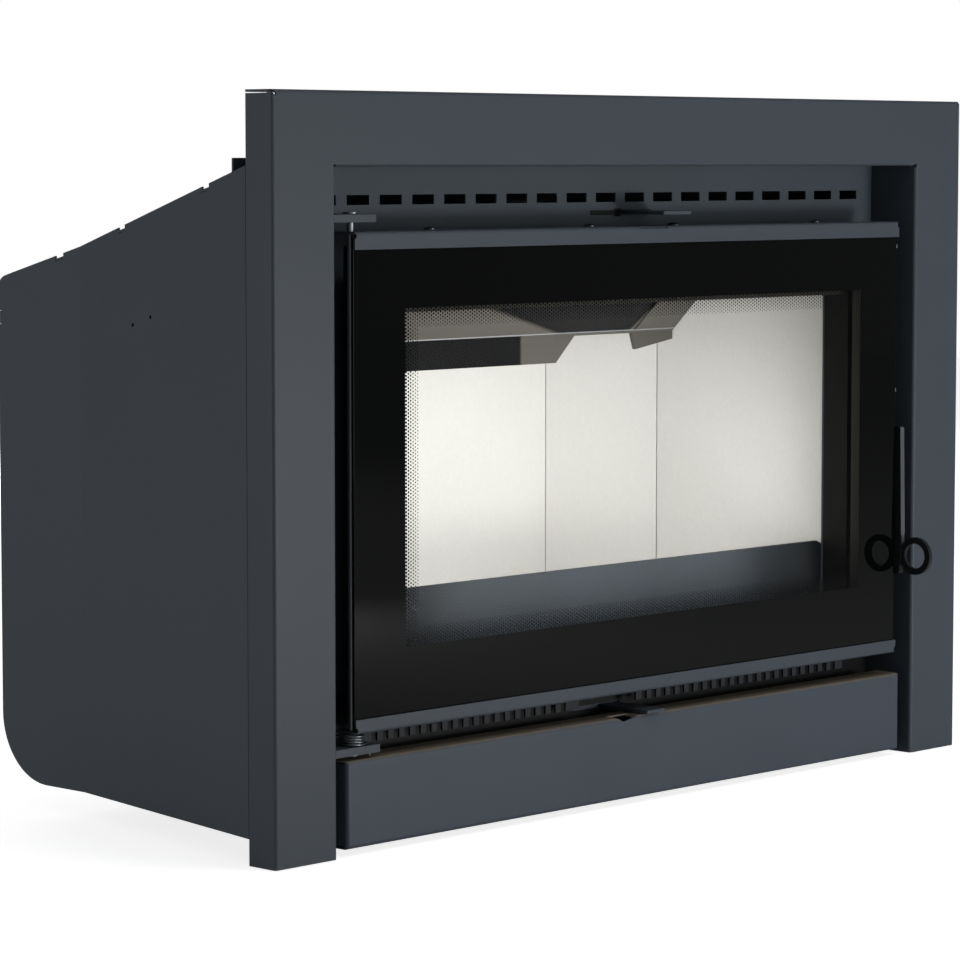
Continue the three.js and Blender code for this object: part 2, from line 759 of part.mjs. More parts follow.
function fireboxFloor() {
  const edge = liningOffset(liningBoard).map((p) => [p.x, p.y]);
  const plate = raised(outline(edge), floorPlateLevel, floorPlateLevel + fireboxSheet);
  return cut(plate, block(
    -grateHalfX + grateLedge, grateHalfX - grateLedge, grateFront + grateLedge, grateRear - grateLedge,
    floorPlateLevel - 1, onFloorPlate + 1,
  ));
}
add('firebox_floor', fireboxFloor(), blackSteel);

const hearthTop = onFloorPlate + hearthThickness;

function hearthSlab() {
  const slab = raised(liningPlan(fit), onFloorPlate, hearthTop);
  return cut(slab, block(-grateHalfX, grateHalfX, grateFront, grateRear, floorPlateLevel, hearthTop + 1));
}
add('hearth_slab', hearthSlab(), board);

function grate() {
  const [x0, x1, y0, y1] = [-grateHalfX + fit, grateHalfX - fit, grateFront + fit, grateRear - fit];
  let plate = block(x0, x1, y0, y1, onFloorPlate, hearthTop - grateSink);
  const gap = grateBarPitch - grateBarWidth;
  const gaps = Math.floor((x1 - x0 - 2 * grateRim) / grateBarPitch);
  for (let i = 0; i < gaps; i++) {
    const x = (i - (gaps - 1) / 2) * grateBarPitch;
    const slot = roundedRectangle(x - gap / 2, y0 + grateRim, x + gap / 2, y1 - grateRim, gap / 2 - 0.1);
    plate = cut(plate, raised(slot, floorPlateLevel, hearthTop + 1, 4));
  }
  return plate;
}
add('grate', grate(), castIron);

// ---------------------------------------------------------------- log guard and baffle

function logGuard() {
  const half = liningFrontHalf - (guardY + guardLean - behindPanel) * taper - 1.5;
  const low = hearthTop + fit;
  const section = outline([
    [guardY, low], [guardY + guardSheet, low], [guardY + guardSheet + guardLean, guardTop], [guardY + guardLean, guardTop],
  ]);
  return along(section, -half, half);
}
add('log_guard', logGuard(), anthracite);

// the baffle slopes at 45 degrees from its rear, lower edge up to the front; lips hang from its lower edge
function baffle() {
  const slope = (from, to, shift) => [
    [baffleEdgeY - to - shift, baffleEdgeZ + to - shift],
    [baffleEdgeY - from - shift, baffleEdgeZ + from - shift],
  ];
  const plate = along(foldedSection(slope(0, baffleRise, 0), baffleSheet, 1), -baffleHalf, baffleHalf);
  const [lipFront, lipBack] = [baffleEdgeY - baffleSheet / 2, baffleEdgeY + baffleSheet / 2];
  const root = baffleEdgeZ + 1;
  const middleLip = deep(outline([
    [-middleLipHalf, root], [-middleLipHalf, baffleEdgeZ - 1], [-middleLipHalfLow, baffleEdgeZ - lipHeight],
    [middleLipHalfLow, baffleEdgeZ - lipHeight], [middleLipHalf, baffleEdgeZ - 1], [middleLipHalf, root],
  ]), lipFront, lipBack);
  const sideLip = deep(outline([
    [sideLipInner, root], [sideLipInner + 6, baffleEdgeZ - sideLipDrop], [baffleHalf, baffleEdgeZ - sideLipDropOuter],
    [baffleHalf, root],
  ]), lipFront, lipBack);
  const ribLift = (baffleSheet / 2 + baffleRibRise / 2 - 0.2) * Math.SQRT1_2;
  const rib = along(
    foldedSection(slope(4, baffleRise - 4, ribLift), baffleRibRise + 0.4, 1),
    sideLipInner,
    sideLipInner + baffleRib,
  );
  return join(plate, middleLip, sideLip, mirrored(sideLip), rib, mirrored(rib));
}
add('baffle', baffle(), castIron);

function baffleHanger() {
  const lift = baffleSheet * Math.SQRT1_2 + fit * Math.SQRT2;
  const onPlate = (run) => [baffleEdgeY - run, baffleEdgeZ + run + lift];
  const hang = fireboxTopLevel - fit;
  const section = outline([onPlate(6), [baffleEdgeY + 8, baffleEdgeZ + 16], [baffleEdgeY + 8, hang],
    [baffleEdgeY - baffleRise + 10, hang], onPlate(baffleRise - 10)]);
  return along(section, hangerX - hangerSheet / 2, hangerX + hangerSheet / 2);
}
add('baffle_hanger_right', baffleHanger(), castIron);
add('baffle_hanger_left', mirrored(baffleHanger()), castIron);

// ---------------------------------------------------------------- smoke outlet

function smokeOutlet() {
  const low = fireboxTopLevel + fireboxSheet + fit;
  const inner = outletRadius - outletSheet;
  return turned([
    [inner, low], [outletRadius + outletFlange, low], [outletRadius + outletFlange, low + outletSheet],
    [outletRadius, low + outletSheet], [outletRadius, outletTop], [inner, outletTop], [inner, low],
  ], 0, outletY, 48);
}
add('smoke_outlet', smokeOutlet(), blackSteel);

// ---------------------------------------------------------------- firebox mouth: the seat of the door

function doorSeat() {
  const ring = (grow, y0, y1) => deep(
    rectangle(-mouthHalf - grow, mouthBottom - grow, mouthHalf + grow, mouthTop + grow), y0, y1,
  );
  const mouth = deep(rectangle(-mouthHalf, mouthBottom, mouthHalf, mouthTop), 0, panelFront + 5);
  const seat = join(ring(seatRim, seatFront, seatFront + seatSheet), ring(seatSheet, seatFront, returnBack));
  return cut(seat, mouth);
}
add('door_seat_frame', doorSeat(), blackSteel);

// ---------------------------------------------------------------- air slides, their guides and the airwash duct

function airSlide(low, high, leverLeft, leverWidth, leverLow, leverFront, windowLow, windowHigh) {
  const [y0, y1] = [behindPanel, behindPanel + slideSheet];
  let plate = block(-slideHalf, slideHalf, y0, y1, low, high);
  for (const x of airWindows) {
    plate = cut(plate, block(
      x - airWindowWidth / 2, x + airWindowWidth / 2, y0 - 1, y1 + 1, windowLow, windowHigh,
    ));
  }
  const rounded = raised(
    roundedRectangle(leverLeft, leverFront, leverLeft + leverWidth, y1, 1.5), leverLow, leverLow + leverSheet,
  );
  return join(plate, rounded);
}

function slideGuide(low, high, travelLeft, windowLow, windowHigh) {
  const rear = behindPanel + slideSheet + slideRun;
  const [x0, x1] = [-slideHalf - travelLeft - 2, slideHalf + 4];
  let guide = block(x0, x1, behindPanel, rear + guideSheet, low - slideRun - guideLedge, high + slideRun + guideLedge);
  guide = cut(guide, block(x0 - 1, x1 + 1, behindPanel - 1, rear, low - slideRun, high + slideRun));
  for (const x of airWindows) {
    guide = cut(guide, block(
      x - airWindowWidth / 2, x + airWindowWidth / 2, rear - 1, rear + guideSheet + 1, windowLow, windowHigh,
    ));
  }
  return guide;
}

const upperSlideLow = fireboxTopLevel + fireboxSheet + fit + guideLedge + slideRun;
const upperSlideHigh = upperLeverLow + leverSheet;

function upperSlide() {
  const slide = airSlide(
    upperSlideLow, upperSlideHigh, upperLeverLeft, upperLeverWidth, upperLeverLow, upperLeverFront,
    upperWindowLow, upperWindowHigh,
  );
  const besideLever = block(
    upperLeverLeft - upperLeverTravel - leverEntryWidth, upperLeverLeft, panelBack, ductRear,
    upperLeverLow - leverEntryPlay, upperSlideHigh + 1,
  );
  return cut(slide, besideLever);
}
add('upper_air_slide', upperSlide(), anthracite);
add(
  'upper_slide_guide',
  slideGuide(upperSlideLow, upperSlideHigh, upperLeverTravel, upperWindowLow, upperWindowHigh),
  blackSteel,
);
add(
  'lower_air_slide',
  airSlide(
    lowerLeverLow, lowerSlideHigh, lowerLeverLeft, lowerLeverWidth, lowerLeverLow, lowerLeverFront,
    lowerWindowLow, lowerWindowHigh,
  ),
  anthracite,
);
add(
  'lower_slide_guide',
  slideGuide(lowerLeverLow, lowerSlideHigh, lowerLeverTravel, lowerWindowLow, lowerWindowHigh),
  blackSteel,
);

function airwashDuct() {
  const low = fireboxTopLevel + fireboxSheet + fit;
  const roof = upperSlideHigh + slideRun + guideLedge + fit;
  return cut(
    block(-ductHalf, ductHalf, behindPanel, ductRear, low, roof + ductSheet),
    block(-ductHalf + ductSheet, ductHalf - ductSheet, behindPanel - 1, ductRear - ductSheet, low - 1, roof),
  );
}
add('airwash_duct', airwashDuct(), blackSteel);

// ---------------------------------------------------------------- comb grille

function airGrille() {
  const plate = block(-combHalf, combHalf, combY, combY + combSheet, toothEnd, combTop);
  let grille = join(plate, block(-combHalf, combHalf, combY, returnBack, combTop - combSheet, combTop));
  const open = (x0, x1) => block(x0, x1, combY - 1, combY + combSheet + 1, toothEnd - 1, toothRoot);
  for (const [start, count] of [[combLeftStart, combLeftGaps], [combRightStart, combRightGaps]]) {
    for (let i = 0; i < count; i++) {
      grille = cut(grille, open(start + i * combPitch, start + i * combPitch + combGap));
    }
  }
  return cut(grille, open(combMouthLeft, combMouthRight));
}
add('air_grille', airGrille(), anthracite);

// ---------------------------------------------------------------- ash chamber, drawer and lower front

function ashChamber() {
  const half = chamberSheet / 2;
  const line = [
    [chamberHalf - half, chamberFront], [chamberHalf - half, chamberRear - half],
    [-chamberHalf + half, chamberRear - half], [-chamberHalf + half, chamberFront],
  ];
  return raised(foldedSection(line, chamberSheet, 4), onBase, floorPlateLevel - fit);
}
add('ash_chamber', ashChamber(), blackSteel);

function drawerRunner() {
  const [x0, x1] = [panHalf - runnerWidth, panHalf + 1 + runnerSheet];
  const section = block(x0, x1, chamberFront, chamberRear - chamberSheet - fit, onBase, onBase + runnerRise);
  return cut(section, block(x0 - 1, panHalf + 1, 0, chamberRear, panLow - fit, onBase + runnerRise + 1));
}
add('drawer_runner_right', drawerRunner(), blackSteel);
add('drawer_runner_left', mirrored(drawerRunner()), blackSteel);

function lowerFront() {
  const rear = lowerFrontY + lowerFrontDepth;
  const face = (inset, y0, round) => deep(
    rectangle(-lowerFrontHalf + inset, lowerFrontLow + inset, lowerFrontHalf - inset, lowerFrontHigh - inset),
    y0, rear + 20, round,
  );
  let front = cut(
    face(0, lowerFrontY, lowerFrontBend),
    face(lowerFrontSheet, lowerFrontY + lowerFrontSheet, lowerFrontBend - lowerFrontSheet),
    block(-lowerFrontHalf - 1, lowerFrontHalf + 1, rear, rear + 30, 0, lowerFrontHigh + 1),
  );
  for (const side of [-1, 1]) {
    for (const [low, high] of [
      [lowerFrontHigh - lowerFrontSheet - cornerSlit, lowerFrontHigh - lowerFrontSheet],
      [lowerFrontLow + lowerFrontSheet, lowerFrontLow + lowerFrontSheet + cornerSlit],
    ]) {
      const edge = side * lowerFrontHalf;
      front = cut(front, block(edge - 2, edge + 2, lowerFrontY + lowerFrontBend, rear + 1, low, high));
    }
  }
  const notch = outline([
    [notchLeft, lowerFrontHigh + 1], [notchDeepX, lowerFrontHigh - notchDepth], [notchRight, lowerFrontHigh + 1],
  ]);
  return cut(front, deep(notch, lowerFrontY - 1, lowerFrontY + notchReach));
}
add('lower_front', lowerFront(), anthracite);

function ashPan() {
  const front = lowerFrontY + lowerFrontSheet + fit;
  return cut(
    block(-panHalf, panHalf, front, panRear, panLow, panHigh),
    block(-panHalf + panSheet, panHalf - panSheet, front + panSheet, panRear - panSheet, panLow + panSheet, panHigh + 1),
  );
}
add('ash_pan', ashPan(), blackSteel);

// ---------------------------------------------------------------- hinge

function bracket(low, reach) {
  const plate = block(bracketLeft, hingeX + reach, bracketFront, returnBack, low, low + bracketThickness);
  return cut(plate, post(hingeX, hingeY, rodRadius + fit, low - 1, low + bracketThickness + 1, 24));
}
add('upper_hinge_bracket', bracket(upperBracketLow, bracketReach), anthracite);

// the spring's first turn is left along a line that leans back to the foot
const springStartAngle = THREE.MathUtils.degToRad(springFootLead - 90);
const springStart = new THREE.Vector3(Math.cos(springStartAngle), Math.sin(springStartAngle), 0)
  .multiplyScalar(springMeanRadius)
  .add(new THREE.Vector3(hingeX, hingeY, 0));
const footRun = new THREE.Vector3(Math.sin(springStartAngle), -Math.cos(springStartAngle), 0);
const springFootY = springStart.y + ((springFootX - springStart.x) / footRun.x) * footRun.y;
add('lower_hinge_bracket', cut(
  bracket(lowerBracketLow, lowerBracketReach),
  post(springFootX, springFootY, springHole, lowerBracketLow - 1, lowerBracketTop + 1, 16),
), anthracite);

function hingeRod() {
  const high = upperBracketTop + fit;
  const low = lowerBracketLow - fit;
  return turned([
    [0, low - rodHeadHeight], [rodHeadRadius - 0.8, low - rodHeadHeight], [rodHeadRadius - 0.8, low], [rodRadius, low],
    [rodRadius, high], [rodHeadRadius, high], [rodHeadRadius, high + rodHeadHeight], [0, high + rodHeadHeight],
  ], hingeX, hingeY, 20);
}
add('hinge_rod', hingeRod(), zinc);

// the closing spring: one unbroken wire, wound round the rod, with a foot in the lower bracket and a straight arm
function closingSpring() {
  const wire = springWire / 2;
  const startZ = lowerBracketTop + fit + wire;
  const endZ = bottomRailLow - fit - wire;
  const steps = 8;
  const sides = 5;
  const turnPoints = Math.round(springTurns * steps);
  const centre = [];
  const foot = new THREE.Vector3(springFootX, springFootY, startZ);
  centre.push(new THREE.Vector3(springFootX, springFootY, lowerBracketLow - springFootDrop));
  centre.push(foot.clone().add(new THREE.Vector3(0, 0, -2.2)));
  centre.push(foot.clone().addScaledVector(footRun, 0.6).add(new THREE.Vector3(0, 0, -0.6)));
  centre.push(foot.clone().addScaledVector(footRun, 2.2));
  const endAngle = -Math.PI / 2 - springTurns * 2 * Math.PI;
  for (let i = 0; i <= turnPoints; i++) {
    const share = i / turnPoints;
    const angle = springStartAngle + (endAngle - springStartAngle) * share;
    centre.push(new THREE.Vector3(
      hingeX + springMeanRadius * Math.cos(angle),
      hingeY + springMeanRadius * Math.sin(angle),
      startZ + (endZ - startZ) * share,
    ));
  }
  const last = centre[centre.length - 1];
  const away = new THREE.Vector3(Math.sin(endAngle), -Math.cos(endAngle), 0);
  centre.push(last.clone().addScaledVector(away, springWire));
  centre.push(last.clone().addScaledVector(away, springArm));
  const positions = [];
  const tangents = centre.map((p, i) => {
    const before = centre[Math.max(0, i - 1)];
    const after = centre[Math.min(centre.length - 1, i + 1)];
    return after.clone().sub(before).normalize();
  });
  let normal = new THREE.Vector3(0, 1, 0);
  tangents.forEach((tangent, i) => {
    normal = normal.clone().addScaledVector(tangent, -normal.dot(tangent)).normalize();
    const binormal = tangent.clone().cross(normal);
    for (let k = 0; k < sides; k++) {
      const a = (2 * Math.PI * k) / sides;
      const p = centre[i].clone().addScaledVector(normal, wire * Math.cos(a)).addScaledVector(binormal, wire * Math.sin(a));
      positions.push(p.x, p.y, p.z);
    }
  });
  const faces = [];
  const rings = centre.length;
  for (let i = 0; i < rings - 1; i++) {
    for (let k = 0; k < sides; k++) {
      const [a, b] = [i * sides + k, i * sides + ((k + 1) % sides)];
      faces.push(a, b, b + sides, a, b + sides, a + sides);
    }
  }
  for (let k = 1; k < sides - 1; k++) {
    faces.push(0, k + 1, k);
    const end = (rings - 1) * sides;
    faces.push(end, end + k, end + k + 1);
  }
  const geometry = new THREE.BufferGeometry();
  geometry.setAttribute('position', new THREE.BufferAttribute(new Float32Array(positions), 3));
  geometry.setIndex(faces);
  let least = Infinity;
  const fine = [];
  centre.slice(0, -1).forEach((p, i) => {
    for (let s = 0; s < 12; s++) fine.push(p.clone().lerp(centre[i + 1], s / 12));
  });
  const along3 = [0];
  for (let i = 1; i < fine.length; i++) along3.push(along3[i - 1] + fine[i].distanceTo(fine[i - 1]));
  for (let i = 0; i < fine.length; i++) {
    for (let j = i + 1; j < fine.length; j++) {
      if (along3[j] - along3[i] > 4 * springWire) least = Math.min(least, fine[i].distanceTo(fine[j]) - springWire);
    }
  }
  console.log(`closing spring: least gap to itself ${least.toFixed(2)} mm`);
  return geometry;
}

const springMesh = new THREE.Mesh(closingSpring(), springSteel);
springMesh.name = 'closing_spring';
insert.add(springMesh);

// ---------------------------------------------------------------- door

const innerFrameLow = bottomRailLow + railSheet + fit;
const innerFrameHigh = topRailHigh - railSheet - fit;

const hingeHole = post(hingeX, hingeY, rodRadius + 0.5, bottomRailLow - 5, topRailHigh + 5, 24);

function rail(lipEnd, flangeLevel) {
  const line = [
    [doorFront + railSheet / 2, lipEnd], [doorFront + railSheet / 2, flangeLevel], [railDepth, flangeLevel],
  ];
  const toFlange = Math.sign(flangeLevel - lipEnd);
  const relief = (x) => {
    const disc = new THREE.Shape();
    disc.absarc(x, flangeLevel + toFlange * (railSheet / 2 - railReliefDrop), railReliefRadius, 0, 2 * Math.PI);
    return deep(disc, doorFront - 1, doorFront + railSheet + 1, 0, 8);
  };
  return cut(
    along(foldedSection(line, railSheet, railBend), -doorHalf, doorHalf),
    hingeHole,
    relief(-doorHalf),
    relief(doorHalf),
  );
}

function topRail() {
  let piece = rail(topRailLow, topRailHigh - railSheet / 2);
  piece = cut(piece, block(
    railSlitX - railSlitLength / 2, railSlitX + railSlitLength / 2, doorFront - 1, doorFront + railSlitReach,
    topRailHigh - railSlitDrop - railSlitHeight, topRailHigh - railSlitDrop,
  ));
  for (const x of railScrewX) {
    piece = cut(piece, post(x, railScrewY, railScrewShank + fit, topRailHigh - 4, topRailHigh + 1, 16));
  }
  return piece;
}
add('door_top_rail', topRail(), anthracite);

function bottomRail() {
  let piece = rail(bottomRailHigh, bottomRailLow + railSheet / 2);
  for (const x of railScrewX) {
    piece = cut(piece, post(x, railScrewY, railScrewShank + fit, bottomRailLow - 1, bottomRailLow + 4, 16));
  }
  return piece;
}
add('door_bottom_rail', bottomRail(), anthracite);

const glass = deep(
  rectangle(-doorHalf + fit, innerFrameLow, doorHalf - fit, innerFrameHigh), glassFront, glassBack, 0.6, 2,
);
add('door_glass', glass, blackGlass);

const sealHalf = mouthHalf + seatRim / 2; // middle line of the seal
const sealLow = mouthBottom - seatRim / 2;
const sealHigh = mouthTop + seatRim / 2;

function sealRing(width, y0, y1) {
  const half = width / 2;
  const ring = roundedRectangle(-sealHalf - half, sealLow - half, sealHalf + half, sealHigh + half, 12 + half);
  ring.holes.push(roundedRectangle(
    -sealHalf + half, sealLow + half, sealHalf - half, sealHigh - half, 12 - half, THREE.Path,
  ));
  return deep(ring, y0, y1, 0, 5);
}

function innerFrame() {
  const front = glassBack + fit;
  let piece = cut(
    block(-innerFrameHalf, innerFrameHalf, front, innerFrameRear, innerFrameLow, innerFrameHigh),
    block(-doorWindowHalf, doorWindowHalf, front - 1, innerFrameRear + 1, doorWindowBottom, doorWindowTop),
    sealRing(sealWidth + 2 * fit, innerFrameRear - sealGroove, innerFrameRear + 1),
    crossPin(handlePivotY, handlePivotZ, handleBoltRadius + fit, innerFrameHalf - handleBoltDepth - fit, doorHalf),
  );
  for (const x of railScrewX) {
    const [low, high] = [innerFrameLow + railScrewDepth + fit, innerFrameHigh - railScrewDepth - fit];
    piece = cut(
      piece,
      post(x, railScrewY, railScrewShank + fit, high, innerFrameHigh + 1, 16),
      post(x, railScrewY, railScrewShank + fit, innerFrameLow - 1, low, 16),
    );
  }
  return piece;
}
add('door_inner_frame', innerFrame(), blackSteel);
add('door_seal', sealRing(sealWidth, innerFrameRear - sealGroove + fit, seatFront - fit), rope);

function railScrew(x) {
  const seat = topRailHigh + fit;
  const rise = railScrewRise;
  return turned([
    [0, innerFrameHigh - railScrewDepth], [railScrewShank, innerFrameHigh - railScrewDepth], [railScrewShank, seat],
    [railScrewHead, seat], [railScrewHead * 0.94, seat + rise * 0.4], [railScrewHead * 0.72, seat + rise * 0.75],
    [railScrewHead * 0.38, seat + rise * 0.95], [0, seat + rise],
  ], x, railScrewY, 16);
}

function lowerRailScrew(x) {
  const seat = bottomRailLow - fit;
  return turned([
    [0, seat - 1.6], [railScrewHead - 0.6, seat - 1.6], [railScrewHead, seat], [railScrewShank, seat],
    [railScrewShank, innerFrameLow + railScrewDepth], [0, innerFrameLow + railScrewDepth],
  ], x, railScrewY, 16);
}
railScrewX.forEach((x, i) => {
  add(`top_rail_screw_${i + 1}`, railScrew(x), zinc);
  add(`bottom_rail_screw_${i + 1}`, lowerRailScrew(x), zinc);
});

// small clips from the inner frame's side over the glass edge
function glassClip(z) {
  const rear = glassBack + fit;
  return join(
    block(innerFrameHalf + fit, doorHalf + clipSheet, rear, rear + clipSheet, z - clipHalf, z + clipHalf),
    block(doorHalf, doorHalf + clipSheet, clipFront, rear + clipSheet, z - clipHalf, z + clipHalf),
  );
}
['upper', 'lower'].forEach((place, i) => {
  add(`glass_clip_${place}`, glassClip(topRailHigh - clipDrops[i]), zinc);
});

// ---------------------------------------------------------------- handle, its bolt and the catch

function handle() {
  const noseTop = catchPinZ - catchPinRadius - noseGap;
  const r = handleCorner;
  const neckAngle = Math.asin(neckHalf / ringRadius);
  const shape = new THREE.Shape();
  shape.moveTo(handleFront, ringZ + neckHalf);
  shape.absarc(ringY, ringZ, ringRadius, neckAngle, 2 * Math.PI - neckAngle);
  shape.lineTo(handleFront, ringZ - neckHalf);
  shape.absarc(handleFront + r, handleBottom + r, r, Math.PI, 1.5 * Math.PI);
  shape.absarc(handleStemRear - r, handleBottom + r, r, 1.5 * Math.PI, 2 * Math.PI);
  shape.lineTo(handleStemRear, handleStemTop - (handleRear - handleStemRear));
  shape.lineTo(handleRear, handleStemTop);
  shape.lineTo(handleRear, noseTop - noseHeight - r);
  shape.lineTo(noseReach - r, noseTop - noseHeight);
  shape.lineTo(noseReach, noseTop - noseHeight + r);
  shape.lineTo(noseReach, noseTop - r);
  shape.lineTo(noseReach - r, noseTop);
  shape.lineTo(handleRear, noseTop);
  shape.absarc(handleRear - r, handleTop - r, r, 0, Math.PI / 2);
  shape.absarc(handleFront + r, handleTop - r, r, Math.PI / 2, Math.PI);
  shape.closePath();
  const eye = new THREE.Path();
  eye.absarc(ringY, ringZ, ringHole, 0, 2 * Math.PI);
  const bore = new THREE.Path();
  bore.absarc(handlePivotY, handlePivotZ, handleBoltRadius + fit, 0, 2 * Math.PI);
  shape.holes.push(eye, bore);
  const lever = along(shape, handleLeft, handleRight, 18);
  const beside = (x0, x1) => block(
    x0, x1, ringY - ringRadius - 1, handleFront - 1, ringZ - ringRadius - 1, ringZ + ringRadius + 1,
  );
  return cut(
    lever,
    beside(handleLeft - 1, handleX - ringThickness / 2),
    beside(handleX + ringThickness / 2, handleRight + 1),
  );
}
add('door_handle', handle(), anthracite);

function handleBolt() {
  const collarEnd = handleLeft - fit;
  const headStart = handleRight + fit;
  return join(
    crossPin(handlePivotY, handlePivotZ, handleBoltRadius, innerFrameHalf - handleBoltDepth, headStart + 1, 20),
    crossPin(handlePivotY, handlePivotZ, handleBoltRadius + 1.8, innerFrameHalf + fit, collarEnd, 20),
    crossPin(handlePivotY, handlePivotZ, handleBoltHead, headStart, headStart + handleBoltHeadHeight, 24),
  );
}
add('handle_bolt', handleBolt(), zinc);

function latchCatch() {
  const cheek = block(
    catchPlateX, catchPlateX + catchPlateThickness, catchPlateFront, returnBack,
    catchPinZ - catchPlateHalf, catchPinZ + catchPlateHalf,
  );
  const foot = block(
    catchPlateX, openingHalf - fit, returnBack - catchPlateThickness, returnBack,
    catchPinZ - catchPlateHalf, catchPinZ + catchPlateHalf,
  );
  const pin = crossPin(catchPinY, catchPinZ, catchPinRadius, handleLeft - 1, catchPlateX + 1, 20);
  return join(cheek, foot, pin);
}
add('latch_catch', latchCatch(), zinc);

// ---------------------------------------------------------------- levelling feet

function levellingFoot(x, y) {
  const high = baseUnder - fit;
  return turned([
    [0, 0], [footRadius, 0], [footRadius, footPad], [footStem, footPad], [footStem, high - footNutHeight],
    [footNut, high - footNutHeight], [footNut, high], [0, high],
  ], x, y, 24);
}
for (const [end, y] of [['front', footFrontY], ['rear', footRearY]]) {
  add(`levelling_foot_${end}_left`, levellingFoot(-footX, y), zinc);
  add(`levelling_foot_${end}_right`, levellingFoot(footX, y), zinc);
}

export default insert;
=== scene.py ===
"""A built-in fireplace insert: the looks of its folded steel, printed glass, lining boards and fittings."""

import json
import math

import bmesh
import bpy
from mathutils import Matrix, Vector


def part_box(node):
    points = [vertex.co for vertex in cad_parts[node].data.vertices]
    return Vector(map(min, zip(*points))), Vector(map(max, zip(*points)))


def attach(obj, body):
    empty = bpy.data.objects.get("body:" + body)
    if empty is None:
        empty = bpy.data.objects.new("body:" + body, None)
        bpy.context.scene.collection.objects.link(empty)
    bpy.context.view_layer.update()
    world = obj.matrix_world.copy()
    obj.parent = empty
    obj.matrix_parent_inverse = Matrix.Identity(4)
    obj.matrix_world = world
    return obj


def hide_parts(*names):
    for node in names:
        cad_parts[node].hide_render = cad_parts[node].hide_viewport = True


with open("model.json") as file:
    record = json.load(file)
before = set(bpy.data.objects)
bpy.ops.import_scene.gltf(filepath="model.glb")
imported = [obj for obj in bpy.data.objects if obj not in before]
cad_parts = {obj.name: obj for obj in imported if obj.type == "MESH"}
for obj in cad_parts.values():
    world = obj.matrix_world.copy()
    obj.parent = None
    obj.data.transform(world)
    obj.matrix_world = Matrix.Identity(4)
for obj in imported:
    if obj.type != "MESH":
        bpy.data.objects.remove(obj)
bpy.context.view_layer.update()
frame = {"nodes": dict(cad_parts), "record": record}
nodes = frame["nodes"]
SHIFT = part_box("surround_frame")[0].y  # the surround's front plane in the row frame, in metres
MM = 0.001

# ---------------------------------------------------------------- camera

CAMERA_PLACE = (-2349.2, -2074.0, 545.9)  # mm, from the middle of the surround's front plane
CAMERA_YAW = 45.940  # degrees to the right of straight on
CAMERA_PITCH = 4.928  # degrees down
CAMERA_LENS = 138.96  # mm on a 36 mm sensor

camera_data = bpy.data.cameras.new("camera")
camera_data.lens = CAMERA_LENS
camera_data.sensor_width = 36
camera_data.clip_end = 50
camera = bpy.data.objects.new("camera", camera_data)
camera.location = (CAMERA_PLACE[0] * MM, CAMERA_PLACE[1] * MM + SHIFT, CAMERA_PLACE[2] * MM)
camera.rotation_euler = (math.radians(90 - CAMERA_PITCH), 0, math.radians(-CAMERA_YAW))
bpy.context.scene.collection.objects.link(camera)
bpy.context.scene.camera = camera

# ---------------------------------------------------------------- colours and nodes

MATH = "ShaderNodeMath"


def linear(hex_colour):
    """The linear colour of an sRGB hex value."""
    parts = [int(hex_colour[i : i + 2], 16) / 255 for i in (1, 3, 5)]
    return [c / 12.92 if c <= 0.04045 else ((c + 0.055) / 1.055) ** 2.4 for c in parts] + [1.0]


def add(tree, kind, settings=None, inputs=None):
    """Adds a node with its settings; each input gets a plain value, or the socket or node that feeds it."""
    node = tree.nodes.new(kind)
    for name, value in (settings or {}).items():
        setattr(node, name, value)
    for name, value in (inputs or {}).items():
        if isinstance(value, bpy.types.Node):
            value = value.outputs[0]
        if isinstance(value, bpy.types.NodeSocket):
            tree.links.new(value, node.inputs[name])
        else:
            node.inputs[name].default_value = value
    return node


def new_material(name):
    """An empty material: its tree, its shader, and the object's own coordinates in metres."""
    material = bpy.data.materials.new(name)
    material.use_nodes = True
    tree = material.node_tree
    tree.nodes.clear()
    shader = add(tree, "ShaderNodeBsdfPrincipled")
    add(tree, "ShaderNodeOutputMaterial", {"name": "surface"}, {"Surface": shader})
    place = add(tree, "ShaderNodeTexCoord").outputs["Object"]
    return material, tree, shader, place


def grained(tree, shader, place, low, high, grain_mm, rough=(0.5, 0.6), bump_mm=0.0, detail=3.0, broad_mm=90.0):
    """Colour between two values by a fine grain over broad soft patches, roughness and bump from the same grain."""
    fine = add(tree, "ShaderNodeTexNoise", inputs={"Vector": place, "Scale": 1 / (grain_mm * MM), "Detail": detail})
    broad = add(tree, "ShaderNodeTexNoise", inputs={"Vector": place, "Scale": 1 / (broad_mm * MM), "Detail": 2.0})
    mean = add(tree, "ShaderNodeMix", {"data_type": "FLOAT"}, {"Factor": 0.5, "A": fine, "B": broad})
    ramp = add(tree, "ShaderNodeValToRGB", inputs={"Fac": mean})
    # the noise's values lie almost all between these two
    least, most = 0.3, 0.7
    for stop, position, colour in zip(ramp.color_ramp.elements, (least, most), (low, high)):
        stop.position = position
        stop.color = linear(colour)
    tree.links.new(ramp.outputs[0], shader.inputs["Base Color"])
    ends = {"From Min": least, "From Max": most, "To Min": rough[0], "To Max": rough[1]}
    spread = add(tree, "ShaderNodeMapRange", inputs={"Value": mean, **ends})
    tree.links.new(spread.outputs[0], shader.inputs["Roughness"])
    if bump_mm:
        bump = add(tree, "ShaderNodeBump", inputs={"Strength": 1.0, "Distance": bump_mm * MM, "Height": fine})
        tree.links.new(bump.outputs[0], shader.inputs["Normal"])


